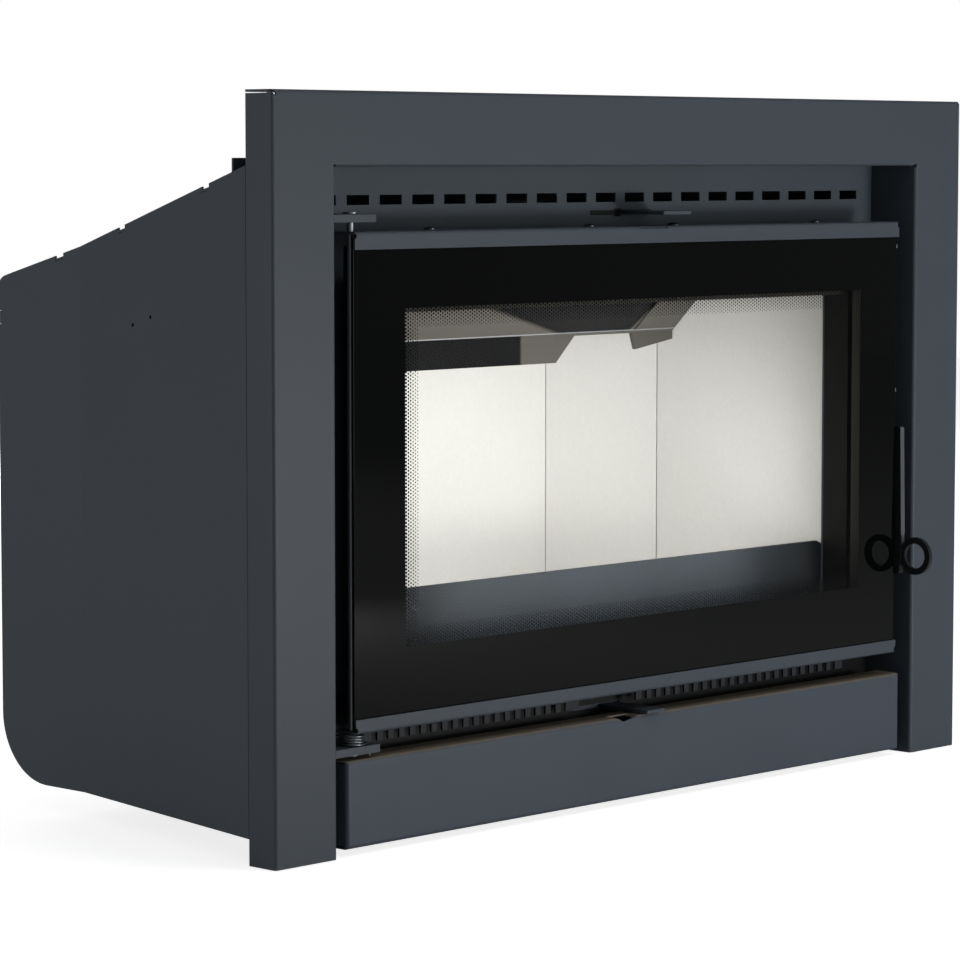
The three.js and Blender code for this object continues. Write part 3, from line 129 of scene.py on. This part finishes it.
def two_tone(tree, shader, place, start, end, below=None, above=None):
    """Gives the finish another colour below the height start or above the height end, in metres."""
    paint = shader.inputs["Base Color"].links[0].from_socket
    height = add(tree, "ShaderNodeSeparateXYZ", inputs={"Vector": place}).outputs["Z"]
    share = add(tree, "ShaderNodeMapRange", inputs={"Value": height, "From Min": start, "From Max": end})
    tones = {"A": linear(below) if below else paint, "B": linear(above) if above else paint}
    colour = add(tree, "ShaderNodeMix", {"data_type": "RGBA"}, {"Factor": share, **tones})
    tree.links.new(colour.outputs["Result"], shader.inputs["Base Color"])


def stove_paint(name, low, high, rough, grain_mm=0.9, bump_mm=0.012, level=0.35):
    """Silicone stove paint sprayed on folded sheet: satin, with a fine orange peel and almost even colour.
    The peel's waves are drawn about a millimetre apart, twice as coarse as real ones, so that they show."""
    material, tree, shader, place = new_material(name)
    shader.inputs["IOR"].default_value = 1.45
    shader.inputs["Specular IOR Level"].default_value = level
    grained(tree, shader, place, low, high, grain_mm, rough, bump_mm)
    return material


def bare_metal(name, low, high, rough, grain_mm):
    """Bare or plated steel: metallic, with drawing or plating marks in its roughness."""
    material, tree, shader, place = new_material(name)
    shader.inputs["Metallic"].default_value = 1.0
    grained(tree, shader, place, low, high, grain_mm, rough)
    return material


# blue-grey stove paint on the parts that face the room: an even satin that lets the folds read
anthracite = stove_paint("anthracite_stove_paint", "#434A52", "#464D55", (0.44, 0.5))
# the same paint, sprayed thinner on the casing: flatter, without the satin
casing_paint = stove_paint("anthracite_casing_paint", "#4A5158", "#4E555C", (0.5, 0.58))
# black stove paint on inner steel: nearly black, and dull
black_paint = stove_paint("black_stove_paint", "#17191A", "#1C1E20", (0.5, 0.6))
# bright zinc plating on small pressed parts: pale grey with clear glints
zinc = bare_metal("zinc_plated_steel", "#B4B8BB", "#CDD0D2", (0.2, 0.32), 0.8)
# cold-drawn rod, oiled: mid grey with one long soft glint
rod_steel = bare_metal("drawn_steel_rod", "#8A9096", "#9AA0A6", (0.3, 0.4), 0.5)
# black zinc plating on the screws: dark, with a small sharp glint on each head
black_zinc = bare_metal("black_zinc_plated_steel", "#4E5256", "#62676B", (0.22, 0.34), 0.8)
# drawn spring wire: darker than the rod, a row of bright glints up the coil
spring_wire = bare_metal("drawn_spring_wire", "#70757A", "#8E9398", (0.26, 0.36), 0.4)
# sand-cast iron, left as cast: dark, dull and rough to the eye
cast_iron = stove_paint("cast_iron_as_cast", "#242526", "#303132", (0.7, 0.85), 1.6, 0.12)
# painted guard plate, dulled by smoke: dark slate
guard_paint = stove_paint("slate_guard_paint", "#262A2F", "#2C3137", (0.5, 0.6))
# grille sheet, thinly painted after punching: dark, flat teeth
comb_paint = stove_paint("dark_grille_paint", "#272B30", "#30353A", (0.55, 0.65))
# dipped enamel on the handle's sides: smooth, and almost black as painted shade
handle_shaded_enamel = stove_paint("handle_enamel_painted_shade", "#191B1D", "#202326", (0.36, 0.46))
# the handle's front edge: painted light, a lighter grey where it faces the lamps
handle_lit_front = stove_paint("handle_front_painted_light", "#4A4E52", "#5C6064", (0.34, 0.44))
# the door's seat: near black, takes up almost all light
seat_paint = stove_paint("near_black_seat_paint", "#060707", "#0A0B0B", (0.6, 0.7))
# high-heat primer inside the door: a warm dull grey
inner_paint = stove_paint("grey_high_heat_primer", "#46443F", "#504E49", (0.6, 0.7))


def panel_paint_and_shade():
    """The slotted panel: stove paint sprayed on folded sheet, and painted shade in near black where the grille
    covers it.
    """
    material, tree, shader, place = new_material("recess_paint_with_painted_shade_below")
    shader.inputs["IOR"].default_value = 1.45
    shader.inputs["Specular IOR Level"].default_value = 0.3
    grained(tree, shader, place, "#485057", "#4C545B", 0.9, (0.5, 0.56), 0.012)
    # painted shade: below this height the panel is near black, the shade of the cavity behind the grille
    two_tone(tree, shader, place, 0.1195, 0.1215, below="#0B0C0D")
    return material


def paint_with_fold_highlight(top):
    """The lower front's stove paint, with a painted highlight in tan along its top fold; top is the fold's height.
    """
    material, tree, shader, place = new_material("stove_paint_with_painted_fold_highlight")
    shader.inputs["IOR"].default_value = 1.45
    shader.inputs["Specular IOR Level"].default_value = 0.35
    grained(tree, shader, place, "#464D57", "#4A515B", 0.9, (0.44, 0.5), 0.012)
    # painted highlight: a warm tan band along the top fold, where it catches light from above
    two_tone(tree, shader, place, top - 2.2 * MM, top - 0.4 * MM, above="#787063")
    return material


def vermiculite():
    """Pressed vermiculite board: cream, matt, with faint flakes two to three millimetres across."""
    material, tree, shader, place = new_material("pressed_vermiculite_board")
    shader.inputs["Specular IOR Level"].default_value = 0.2
    grained(tree, shader, place, "#E7E6E3", "#F2F1EF", 3.0, (0.86, 0.95), 0.05, 4.0, 160.0)
    return material


STITCH_MM = 2.4  # between the rope's stitches


def seal_rope():
    """Knitted glass-fibre rope: dark grey, matt, with slanting stitches about two millimetres apart."""
    material, tree, shader, place = new_material("knitted_glass_rope")
    shader.inputs["Roughness"].default_value = 0.95
    split = add(tree, "ShaderNodeSeparateXYZ", inputs={"Vector": place})
    total = add(tree, MATH, {"operation": "ADD"}, {0: split.outputs["X"], 1: split.outputs["Z"]})
    slant = add(tree, MATH, {"operation": "ADD"}, {0: total, 1: split.outputs["Y"]})
    turn = add(tree, MATH, {"operation": "MULTIPLY"}, {0: slant, 1: 2 * math.pi / (STITCH_MM * MM)})
    stitch = add(tree, MATH, {"operation": "SINE"}, {0: turn})
    ramp = add(tree, "ShaderNodeValToRGB", inputs={"Fac": stitch})
    ramp.color_ramp.elements[0].color = linear("#262626")
    ramp.color_ramp.elements[1].color = linear("#4B4A48")
    tree.links.new(ramp.outputs[0], shader.inputs["Base Color"])
    bump = add(tree, "ShaderNodeBump", inputs={"Distance": 0.4 * MM, "Height": stitch})
    tree.links.new(bump.outputs[0], shader.inputs["Normal"])
    return material


BEND_LOW, BEND_HIGH = 389.5, 390.0  # mm: the baffle's bend, with the lips below it and the plate above
BEND_HIGHLIGHT = 390.6  # mm: height of the painted highlight along the bend
SHADOW_EDGE_SLOPE = 4.36  # how steeply the painted shadow's edge runs across the plate
SHADOW_EDGE_LINE = 1799.8  # and where it lies, in mm
SHADOW_EDGE_SOFT = 8  # half the width of that edge, in mm
LIP_LIT = (49.0, 53.0)  # mm: the lips are painted lit to the right of this and painted in shade to its left
STRAP_SHADOW_SLOPE = -0.29  # the painted shadow's edge on the strap at the right
STRAP_SHADOW_LINE = 80.2
SCALE_GRAIN_MM = 3.846  # mill scale
SMOKE_CLOUD_MM = 45.45  # patches of soot


def baffle_painted_light():
    """Hot-rolled plate in the fire: painted light in grey-brown on its lit parts, painted shade in near black
    elsewhere, with a painted highlight along its bend."""
    material, tree, shader, place = new_material("hot_rolled_plate_painted_light_and_shade")
    shader.inputs["Specular IOR Level"].default_value = 0.25
    in_mm = add(tree, "ShaderNodeVectorMath", {"operation": "SCALE"}, {"Vector": place, "Scale": 1 / MM})
    split = add(tree, "ShaderNodeSeparateXYZ", inputs={"Vector": in_mm})
    x, z = split.outputs["X"], split.outputs["Z"]

    # painted light and shade: lit grey-brown on the plate left of a slanting painted shadow edge, on the lips'
    # right parts and on the strap
    plate = add(tree, "ShaderNodeMapRange", inputs={"Value": z, "From Min": BEND_LOW, "From Max": BEND_HIGH})
    slant = add(tree, MATH, {"operation": "MULTIPLY_ADD"}, {0: z, 1: SHADOW_EDGE_SLOPE, 2: x})
    ends = {"From Min": SHADOW_EDGE_LINE + SHADOW_EDGE_SOFT, "From Max": SHADOW_EDGE_LINE - SHADOW_EDGE_SOFT}
    under_line = add(tree, "ShaderNodeMapRange", inputs={"Value": slant, **ends})
    lit_plate = add(tree, MATH, {"operation": "MULTIPLY"}, {0: plate, 1: under_line})

    lip = add(tree, MATH, {"operation": "SUBTRACT"}, {0: 1.0, 1: plate})
    ends = {"From Min": LIP_LIT[0], "From Max": LIP_LIT[1]}
    lip_end = add(tree, "ShaderNodeMapRange", inputs={"Value": x, **ends})
    lit_lip = add(tree, MATH, {"operation": "MULTIPLY"}, {0: lip, 1: lip_end})

    strap = add(tree, MATH, {"operation": "MULTIPLY_ADD"}, {0: z, 1: STRAP_SHADOW_SLOPE, 2: x})
    ends = {"From Min": STRAP_SHADOW_LINE - 1, "From Max": STRAP_SHADOW_LINE + 1}
    lit_strap = add(tree, "ShaderNodeMapRange", inputs={"Value": strap, **ends})
    lit_plate_or_lip = add(tree, MATH, {"operation": "MAXIMUM"}, {0: lit_plate, 1: lit_lip})
    painted_lit = add(tree, MATH, {"operation": "MAXIMUM"}, {0: lit_plate_or_lip, 1: lit_strap})

    size = {"Scale": 1 / (SCALE_GRAIN_MM * MM), "Detail": 4.0}
    grain = add(tree, "ShaderNodeTexNoise", inputs={"Vector": place, **size})
    size = {"Scale": 1 / (SMOKE_CLOUD_MM * MM), "Detail": 2.0}
    cloud = add(tree, "ShaderNodeTexNoise", inputs={"Vector": place, **size})
    both = add(tree, MATH, {"operation": "ADD"}, {0: grain, 1: cloud})
    mottle = add(tree, MATH, {"operation": "MULTIPLY_ADD"}, {0: both, 1: 0.16, 2: -0.16})
    depth = add(tree, MATH, {"operation": "ADD"}, {0: painted_lit, 1: mottle})
    # the dark stop is the painted shade, the light stop the painted light; the mottle varies both at random
    tone = add(tree, "ShaderNodeValToRGB", inputs={"Fac": depth})
    for stop, position, colour in zip(tone.color_ramp.elements, (0.05, 0.95), ("#0C0D10", "#5C5955")):
        stop.position = position
        stop.color = linear(colour)

    # painted highlight: a pale line along the bend, where its round catches the light
    bend = add(tree, MATH, {"operation": "COMPARE"}, {0: z, 1: BEND_HIGHLIGHT, 2: 0.5})
    bright = add(tree, MATH, {"operation": "MULTIPLY"}, {0: bend, 1: 0.5})
    tones = {"A": tone, "B": linear("#C6CCD2")}
    colour = add(tree, "ShaderNodeMix", {"data_type": "RGBA"}, {"Factor": bright, **tones})
    tree.links.new(colour.outputs["Result"], shader.inputs["Base Color"])
    rough = add(tree, MATH, {"operation": "MULTIPLY_ADD"}, {0: grain, 1: 0.2, 2: 0.45})
    tree.links.new(rough.outputs[0], shader.inputs["Roughness"])
    bump = add(tree, "ShaderNodeBump", inputs={"Distance": 0.02 * MM, "Height": grain})
    tree.links.new(bump.outputs[0], shader.inputs["Normal"])
    return material


recess_paint = panel_paint_and_shade()
fold_highlight_paint = paint_with_fold_highlight(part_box("lower_front")[1].z)
baffle_steel = baffle_painted_light()
board = vermiculite()
rope = seal_rope()

# ---------------------------------------------------------------- printed ceramic glass

WINDOW_LEFT, WINDOW_RIGHT = -287.0, 292.0  # mm: sides of the unprinted window
WINDOW_LOW, WINDOW_HIGH = 160.0, 429.8  # mm: its lower and upper edge
DOT_ROW = 2.85  # mm between dots along an edge
DOT_COLUMN = 2.6  # mm between rows of dots
DOT_BAND = 15.3  # mm: depth of the dotted band inside the window's edge
DOT_LARGE = 1.06  # mm: radius of a dot at the band's outer side
DOT_SMALL = 0.5  # mm: and at its inner side


def printed_glass():
    """Ceramic glass, polished, with black enamel fired on round the window: a deep black gloss that fades
    into the clear window through rows of shrinking dots."""
    material, tree, shader, place = new_material("black_printed_ceramic_glass")
    shader.inputs["Base Color"].default_value = linear("#040506")
    shader.inputs["Roughness"].default_value = 0.04
    shader.inputs["Specular IOR Level"].default_value = 0.2
    in_mm = add(tree, "ShaderNodeVectorMath", {"operation": "SCALE"}, {"Vector": place, "Scale": 1 / MM})
    split = add(tree, "ShaderNodeSeparateXYZ", inputs={"Vector": in_mm})
    x, z = split.outputs["X"], split.outputs["Z"]

    # mm inside the window's nearest edge
    from_left = add(tree, MATH, {"operation": "SUBTRACT"}, {0: x, 1: WINDOW_LEFT})
    from_right = add(tree, MATH, {"operation": "SUBTRACT"}, {0: WINDOW_RIGHT, 1: x})
    from_low = add(tree, MATH, {"operation": "SUBTRACT"}, {0: z, 1: WINDOW_LOW})
    from_high = add(tree, MATH, {"operation": "SUBTRACT"}, {0: WINDOW_HIGH, 1: z})
    across = add(tree, MATH, {"operation": "MINIMUM"}, {0: from_left, 1: from_right})
    upright = add(tree, MATH, {"operation": "MINIMUM"}, {0: from_low, 1: from_high})
    edge = add(tree, MATH, {"operation": "MINIMUM"}, {0: across, 1: upright})

    # distance to the nearest dot of two grids, the second half a step aside and up: staggered rows
    near = []
    for shift in (0.0, 1.0):
        aside = add(tree, MATH, {"operation": "ADD"}, {0: x, 1: shift * DOT_COLUMN})
        column = add(tree, MATH, {"operation": "PINGPONG"}, {0: aside, 1: DOT_COLUMN})
        up = add(tree, MATH, {"operation": "ADD"}, {0: z, 1: shift * DOT_ROW / 2})
        row = add(tree, MATH, {"operation": "PINGPONG"}, {0: up, 1: DOT_ROW / 2})
        offset = add(tree, "ShaderNodeCombineXYZ", inputs={"X": column, "Y": row})
        length = add(tree, "ShaderNodeVectorMath", {"operation": "LENGTH"}, {"Vector": offset})
        near.append(length.outputs["Value"])
    nearest = add(tree, MATH, {"operation": "MINIMUM"}, {0: near[0], 1: near[1]})
    ends = {"From Min": 0.0, "From Max": DOT_BAND, "To Min": DOT_LARGE, "To Max": DOT_SMALL}
    radius = add(tree, "ShaderNodeMapRange", inputs={"Value": edge, **ends})

    printed = add(tree, MATH, {"operation": "LESS_THAN"}, {0: edge, 1: 0.0})
    in_dot = add(tree, MATH, {"operation": "LESS_THAN"}, {0: nearest, 1: radius})
    in_band = add(tree, MATH, {"operation": "LESS_THAN"}, {0: edge, 1: DOT_BAND})
    dotted = add(tree, MATH, {"operation": "MULTIPLY"}, {0: in_dot, 1: in_band})
    mask = add(tree, MATH, {"operation": "MAXIMUM"}, {0: printed, 1: dotted})

    clear = add(tree, "ShaderNodeBsdfTransparent", inputs={"Color": linear("#FBFBFA")})
    sheen = add(tree, "ShaderNodeBsdfGlossy", inputs={"Color": linear("#FFFFFF"), "Roughness": 0.03})
    fresnel = add(tree, "ShaderNodeFresnel", inputs={"IOR": 1.16})  # low: the pane is seen through, not in
    bare = add(tree, "ShaderNodeMixShader", inputs={0: fresnel, 1: clear, 2: sheen})
    whole = add(tree, "ShaderNodeMixShader", inputs={0: mask, 1: bare, 2: shader})
    tree.links.new(whole.outputs[0], tree.nodes["surface"].inputs["Surface"])
    return material


def glass_back():
    """The unprinted sides of the ceramic pane, drawn and polished: almost clear, a breath of grey."""
    material, tree, shader, place = new_material("clear_ceramic_glass")
    clear = add(tree, "ShaderNodeBsdfTransparent", inputs={"Color": linear("#F6F6F4")})
    tree.links.new(clear.outputs[0], tree.nodes["surface"].inputs["Surface"])
    return material


front_glass = printed_glass()
clear_glass = glass_back()

# ---------------------------------------------------------------- pieces


def body_of(node):
    """The name of the body that the CAD node belongs to."""
    return next(body for body, members in frame["record"]["behaviour"]["bodies"].items() if node in members)


def show(mesh, name, node, material):
    """Places a finished mesh on the body of the CAD node that it stands for."""
    piece = bpy.data.objects.new(name, mesh)
    bpy.context.scene.collection.objects.link(piece)
    for one in material if isinstance(material, (list, tuple)) else [material]:
        mesh.materials.append(one)
    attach(piece, body_of(node))
    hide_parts(node)
    return piece


def smooth_faces(mesh, angle=40):
    """Smooth shading, with edges steeper than the angle kept sharp."""
    form = bmesh.new()
    form.from_mesh(mesh)
    for face in form.faces:
        face.smooth = True
    for edge in form.edges:
        edge.smooth = len(edge.link_faces) == 2 and edge.calc_face_angle(0) < math.radians(angle)
    form.to_mesh(mesh)
    form.free()


def eased(node, ease_mm):
    """The piece's own solid with flat faces made whole and its edges broken by a small round."""
    form = bmesh.new()
    form.from_mesh(nodes[node].data)
    bmesh.ops.remove_doubles(form, verts=form.verts, dist=1e-6)
    bmesh.ops.dissolve_limit(
        form,
        angle_limit=math.radians(0.8),
        use_dissolve_boundaries=False,
        verts=form.verts,
        edges=form.edges,
    )
    sharp = [e for e in form.edges if len(e.link_faces) == 2 and e.calc_face_angle(0) > math.radians(32)]
    bmesh.ops.bevel(
        form,
        geom=sharp,
        offset=ease_mm * MM,
        segments=2,
        profile=0.5,
        affect="EDGES",
        clamp_overlap=True,
    )
    mesh = bpy.data.meshes.new(node + "_eased")
    form.to_mesh(mesh)
    form.free()
    smooth_faces(mesh, 50)
    return mesh


def keep_flat(piece):
    """Keeps the shading of flat faces flat beside their rounded edges."""
    piece.modifiers.new("flat_faces", "WEIGHTED_NORMAL").keep_sharp = True


def dress(node, material, ease_mm):
    """Stands the eased solid in for the plain one."""
    piece = show(eased(node, ease_mm), node + "_finished", node, material)
    keep_flat(piece)
    return piece


def turned(profile, centre, segments=32):
    """A closed turned mesh about a vertical line; the profile holds (radius, height) in mm from bottom to top."""
    form = bmesh.new()
    rings = []
    for radius, height in profile:
        if radius == 0:
            rings.append([form.verts.new((centre[0] * MM, centre[1] * MM + SHIFT, height * MM))])
            continue
        ring = []
        for i in range(segments):
            angle = 2 * math.pi * i / segments
            ring.append(
                form.verts.new((
                    (centre[0] + radius * math.cos(angle)) * MM,
                    (centre[1] + radius * math.sin(angle)) * MM + SHIFT,
                    height * MM,
                ))
            )
        rings.append(ring)
    for lower, upper in zip(rings, rings[1:]):
        for i in range(segments):
            j = (i + 1) % segments
            corners = [lower[i % len(lower)], lower[j % len(lower)], upper[j % len(upper)], upper[i % len(upper)]]
            unique = list(dict.fromkeys(corners))
            if len(unique) > 2:
                form.faces.new(unique)
    bmesh.ops.recalc_face_normals(form, faces=form.faces)
    mesh = bpy.data.meshes.new("turned")
    form.to_mesh(mesh)
    form.free()
    smooth_faces(mesh, 40)
    return mesh


def in_front_frame(point):
    """A row-frame point in mm from the middle of the surround's front plane."""
    return Vector((point[0] / MM, (point[1] - SHIFT) / MM, point[2] / MM))


# folded sheet and frames: broken edges
for name, material, ease in (
    ("surround_frame", anthracite, 0.8),
    ("front_panel", recess_paint, 0.25),
    ("casing_side_left", casing_paint, 0.35),
    ("casing_side_right", casing_paint, 0.35),
    ("casing_back_and_base", casing_paint, 0.3),
    ("casing_lid", casing_paint, 0.3),
    ("lower_front", fold_highlight_paint, 0.3),
    ("door_top_rail", anthracite, 0.6),
    ("door_bottom_rail", anthracite, 0.3),
    ("upper_hinge_bracket", anthracite, 0.4),
    ("lower_hinge_bracket", anthracite, 0.4),
    ("upper_air_slide", anthracite, 0.3),
    ("lower_air_slide", anthracite, 0.3),
    ("air_grille", comb_paint, 0.2),
    ("baffle", baffle_steel, 0.4),
    ("grate", cast_iron, 0.6),
    ("latch_catch", zinc, 0.3),
    ("glass_clip_upper", zinc, 0.15),
    ("glass_clip_lower", zinc, 0.15),
    ("handle_bolt", zinc, 0.3),
):
    dress(name, material, ease)

# the handle: enamel in painted shade on its sides, painted light along its front edge
RING_TOP = 0.196  # m: the finger ring ends here, and the lever begins
handle = dress("door_handle", [handle_shaded_enamel, handle_lit_front], 0.7)
# front-facing faces of the lever take the painted light, all others the painted shade
for face in handle.data.polygons:
    face.material_index = 1 if face.normal.y < -0.8 and face.center.z > RING_TOP else 0


def plate(name, corners, front, thickness, ease_mm):
    """A flat plate on edge: its outline in x and z, its front face's depth and its thickness, all in mm."""
    form = bmesh.new()
    face = form.faces.new([form.verts.new((x * MM, front * MM + SHIFT, z * MM)) for x, z in corners])
    grown = bmesh.ops.extrude_face_region(form, geom=[face])
    moved = [v for v in grown["geom"] if isinstance(v, bmesh.types.BMVert)]
    bmesh.ops.translate(form, verts=moved, vec=(0, thickness * MM, 0))
    bmesh.ops.recalc_face_normals(form, faces=form.faces)
    bmesh.ops.bevel(form, geom=form.edges[:], offset=ease_mm * MM, segments=2, profile=0.5, affect="EDGES")
    mesh = bpy.data.meshes.new(name)
    form.to_mesh(mesh)
    form.free()
    smooth_faces(mesh, 50)
    return mesh


# the log guard stands right behind the mouth, from board to board, with its upper corners cut off
low, high = (in_front_frame(corner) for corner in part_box("log_guard"))
half, cut = 298.6, 6.0
guard_outline = [
    (-half, low.z),
    (half, low.z),
    (half, high.z - cut / 2),
    (half - cut, high.z),
    (cut - half, high.z),
    (-half, high.z - cut / 2),
]
guard = show(plate("log_guard_plate", guard_outline, 52.9, 4.0, 0.4), "log_guard_plate", "log_guard", guard_paint)
keep_flat(guard)

# the upper part of the door's seat reaches down over the window
seat_outline = [(-298.9, 425.2), (298.9, 425.2), (298.9, 446.6), (-298.9, 446.6)]
seat_fold = bpy.data.objects.new("seat_upper_fold", plate("seat_upper_fold", seat_outline, 24.2, 26.0, 0.8))
bpy.context.scene.collection.objects.link(seat_fold)
seat_fold.data.materials.append(inner_paint)
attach(seat_fold, body_of("door_seat_frame"))

# plain inner pieces and boards
for name, material in (
    ("lining_back", board),
    ("lining_corner_left", board),
    ("lining_corner_right", board),
    ("lining_side_left", board),
    ("lining_side_right", board),
    ("hearth_slab", board),
):
    dress(name, material, 0.5)

for name, material in (
    ("firebox_wall", black_paint),
    ("firebox_top", black_paint),
    ("firebox_floor", black_paint),
    ("door_seat_frame", seat_paint),
    ("door_inner_frame", inner_paint),
    ("smoke_outlet", black_paint),
    ("upper_slide_guide", black_paint),
    ("lower_slide_guide", black_paint),
    ("airwash_duct", black_paint),
    ("ash_chamber", black_paint),
    ("ash_pan", black_paint),
    ("drawer_runner_left", black_paint),
    ("drawer_runner_right", black_paint),
    ("baffle_hanger_left", baffle_steel),
    ("baffle_hanger_right", baffle_steel),
    ("door_seal", rope),
    ("hinge_rod", rod_steel),
    *[(f"levelling_foot_{a}_{b}", zinc) for a in ("front", "rear") for b in ("left", "right")],
    *[(f"bottom_rail_screw_{i}", black_zinc) for i in (1, 2, 3, 4)],
):
    solid = nodes[name]
    solid.data.materials.clear()
    solid.data.materials.append(material)
    smooth_faces(solid.data, 35)
    keep_flat(solid)

# the pane: printed on its front face only
pane = eased("door_glass", 0.3)
pane_piece = show(pane, "door_glass_printed", "door_glass", [front_glass, clear_glass])
for face in pane.polygons:
    face.material_index = 0 if face.normal.y < -0.5 else 1
    face.use_smooth = False

# domed screws on the door's top flange
SCREW_RISE = 2.7  # mm: height of the domed head
RIM = 0.35  # mm: height of the straight rim under the dome
for i in (1, 2, 3, 4):
    low, high = (in_front_frame(corner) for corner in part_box(f"top_rail_screw_{i}"))
    middle = (low + high) / 2
    head = (high.x - low.x) / 2
    seat = high.z - SCREW_RISE
    dome = [
        (head * math.cos(t), seat + RIM + (SCREW_RISE - RIM) * math.sin(t))
        for t in (math.radians(15 * k) for k in range(6))
    ]
    profile = [(0, low.z), (head * 0.45, low.z), (head * 0.45, seat), (head, seat), *dome, (0, high.z)]
    show(turned(profile, middle, 28), f"domed_screw_{i}", f"top_rail_screw_{i}", black_zinc)


def closing_spring():
    """The closing spring: a round wire from its foot in the bracket, up the turns, to its straight arm; in mm."""
    axis = Vector((-338.2, 13.0))  # of the hinge rod
    mean, wire = 9.3, 1.9  # the coil's mean radius and the wire's diameter
    start, end = 87.05, 94.35  # heights of the first and last turn
    first, last = math.radians(-70), math.radians(-90 - 3.25 * 360)
    foot, foot_end = Vector((-323.0, 8.626)), in_front_frame(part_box("closing_spring")[0]).z
    run = Vector((math.sin(first), -math.cos(first)))  # from the foot towards the first turn
    bend, arm = 1.4, 12.0
    points = [Vector((foot.x, foot.y, foot_end)), Vector((foot.x, foot.y, start - bend - 1.0))]
    for t in (math.radians(15 * k) for k in range(7)):
        out = bend * (1 - math.cos(t))
        points.append(Vector((foot.x + run.x * out, foot.y + run.y * out, start - bend * (1 - math.sin(t)))))
    steps = 130
    for i in range(steps + 1):
        angle = first + (last - first) * i / steps
        points.append(Vector((
            axis.x + mean * math.cos(angle),
            axis.y + mean * math.sin(angle),
            start + (end - start) * i / steps,
        )))
    points.append(points[-1] + Vector((math.sin(last), -math.cos(last), 0)) * arm)
    curve = bpy.data.curves.new("closing_spring_wire", "CURVE")
    curve.dimensions = "3D"
    curve.bevel_depth = wire / 2 * MM
    curve.bevel_resolution = 4
    curve.use_fill_caps = True
    spline = curve.splines.new("POLY")
    spline.points.add(len(points) - 1)
    for target, p in zip(spline.points, points):
        target.co = (p.x * MM, p.y * MM + SHIFT, p.z * MM, 1)
    spline.use_smooth = True
    shape = bpy.data.objects.new("closing_spring_shape", curve)
    bpy.context.scene.collection.objects.link(shape)
    mesh = bpy.data.meshes.new_from_object(shape.evaluated_get(bpy.context.evaluated_depsgraph_get()))
    bpy.data.objects.remove(shape)
    smooth_faces(mesh, 50)
    mesh.materials.clear()
    show(mesh, "closing_spring_wire", "closing_spring", spring_wire)


closing_spring()

# ---------------------------------------------------------------- studio: floor, backdrop light and lamps


FLOOR_LIFT = 0.8  # what the camera alone sees the floor brighter by, so that it runs into the white
AMBIENT = 0.15  # the room's fill; the camera alone sees the full white backdrop


def pale_floor():
    """A plain pale floor that keeps the object's shadow and runs into the white background."""
    material, tree, shader, place = new_material("pale_studio_floor")
    shader.inputs["Base Color"].default_value = linear("#E9E9E9")
    shader.inputs["Roughness"].default_value = 0.9
    shader.inputs["Specular IOR Level"].default_value = 0.0
    seen = add(tree, "ShaderNodeLightPath").outputs["Is Camera Ray"]
    strength = add(tree, MATH, {"operation": "MULTIPLY"}, {0: seen, 1: FLOOR_LIFT})
    lift = add(tree, "ShaderNodeEmission", inputs={"Color": linear("#FFFFFF"), "Strength": strength})
    both = add(tree, "ShaderNodeAddShader", inputs={0: shader, 1: lift})
    tree.links.new(both.outputs[0], tree.nodes["surface"].inputs["Surface"])
    return material


floor_mesh = bpy.data.meshes.new("studio_floor")
floor_mesh.from_pydata([(-6, -6, 0), (6, -6, 0), (6, 6, 0), (-6, 6, 0)], [], [(0, 1, 2, 3)])
floor = bpy.data.objects.new("studio_floor", floor_mesh)
floor.location.z = -0.0005
floor_mesh.materials.append(pale_floor())
bpy.context.scene.collection.objects.link(floor)

world = bpy.data.worlds.new("studio_white")
bpy.context.scene.world = world
world.use_nodes = True
sky = world.node_tree
sky.nodes.clear()
seen = add(sky, "ShaderNodeLightPath").outputs["Is Camera Ray"]
strength = add(sky, MATH, {"operation": "MULTIPLY_ADD"}, {0: seen, 1: 1 - AMBIENT, 2: AMBIENT})
backdrop = add(sky, "ShaderNodeBackground", inputs={"Color": linear("#FFFFFF"), "Strength": strength})
add(sky, "ShaderNodeOutputWorld", inputs={"Surface": backdrop})


def soft_lamp(name, place, aim, width, height, power):
    """A large soft box: it stands at place and looks at aim, all in metres."""
    data = bpy.data.lights.new(name, "AREA")
    data.shape = "RECTANGLE"
    data.size = width
    data.size_y = height
    data.energy = power
    lamp = bpy.data.objects.new(name, data)
    lamp.location = place
    lamp.rotation_euler = (Vector(aim) - Vector(place)).to_track_quat("-Z", "Y").to_euler()
    bpy.context.scene.collection.objects.link(lamp)
    return lamp


soft_lamp("front_softbox", (0.6, -3.4, 0.5), (0, 0, 0.3), 2.0, 1.0, 16)
soft_lamp("low_softbox", (0.45, -1.5, 0.1), (0.2, 0, 0.15), 0.4, 0.3, 7)
soft_lamp("side_softbox", (-3.2, 1.3, 0.35), (0, 0.2, 0.15), 1.4, 1.0, 19)
soft_lamp("top_softbox", (0.3, -1.4, 2.2), (0, -0.1, 0.2), 0.9, 0.4, 9)
soft_lamp("rear_softbox", (1.6, 3.4, 1.2), (0, 0, 0.3), 2.0, 1.2, 60)
# stands just behind the glass and faces the boards: the light that the print on the glass keeps out
chamber_lamp = soft_lamp("chamber_softbox", (0, SHIFT + 0.0145, 0.26), (0, 1, 0.26), 0.4, 0.18, 0.92)
chamber_lamp.visible_camera = False
chamber_lamp.visible_glossy = False

bpy.context.scene.view_settings.view_transform = "Standard"
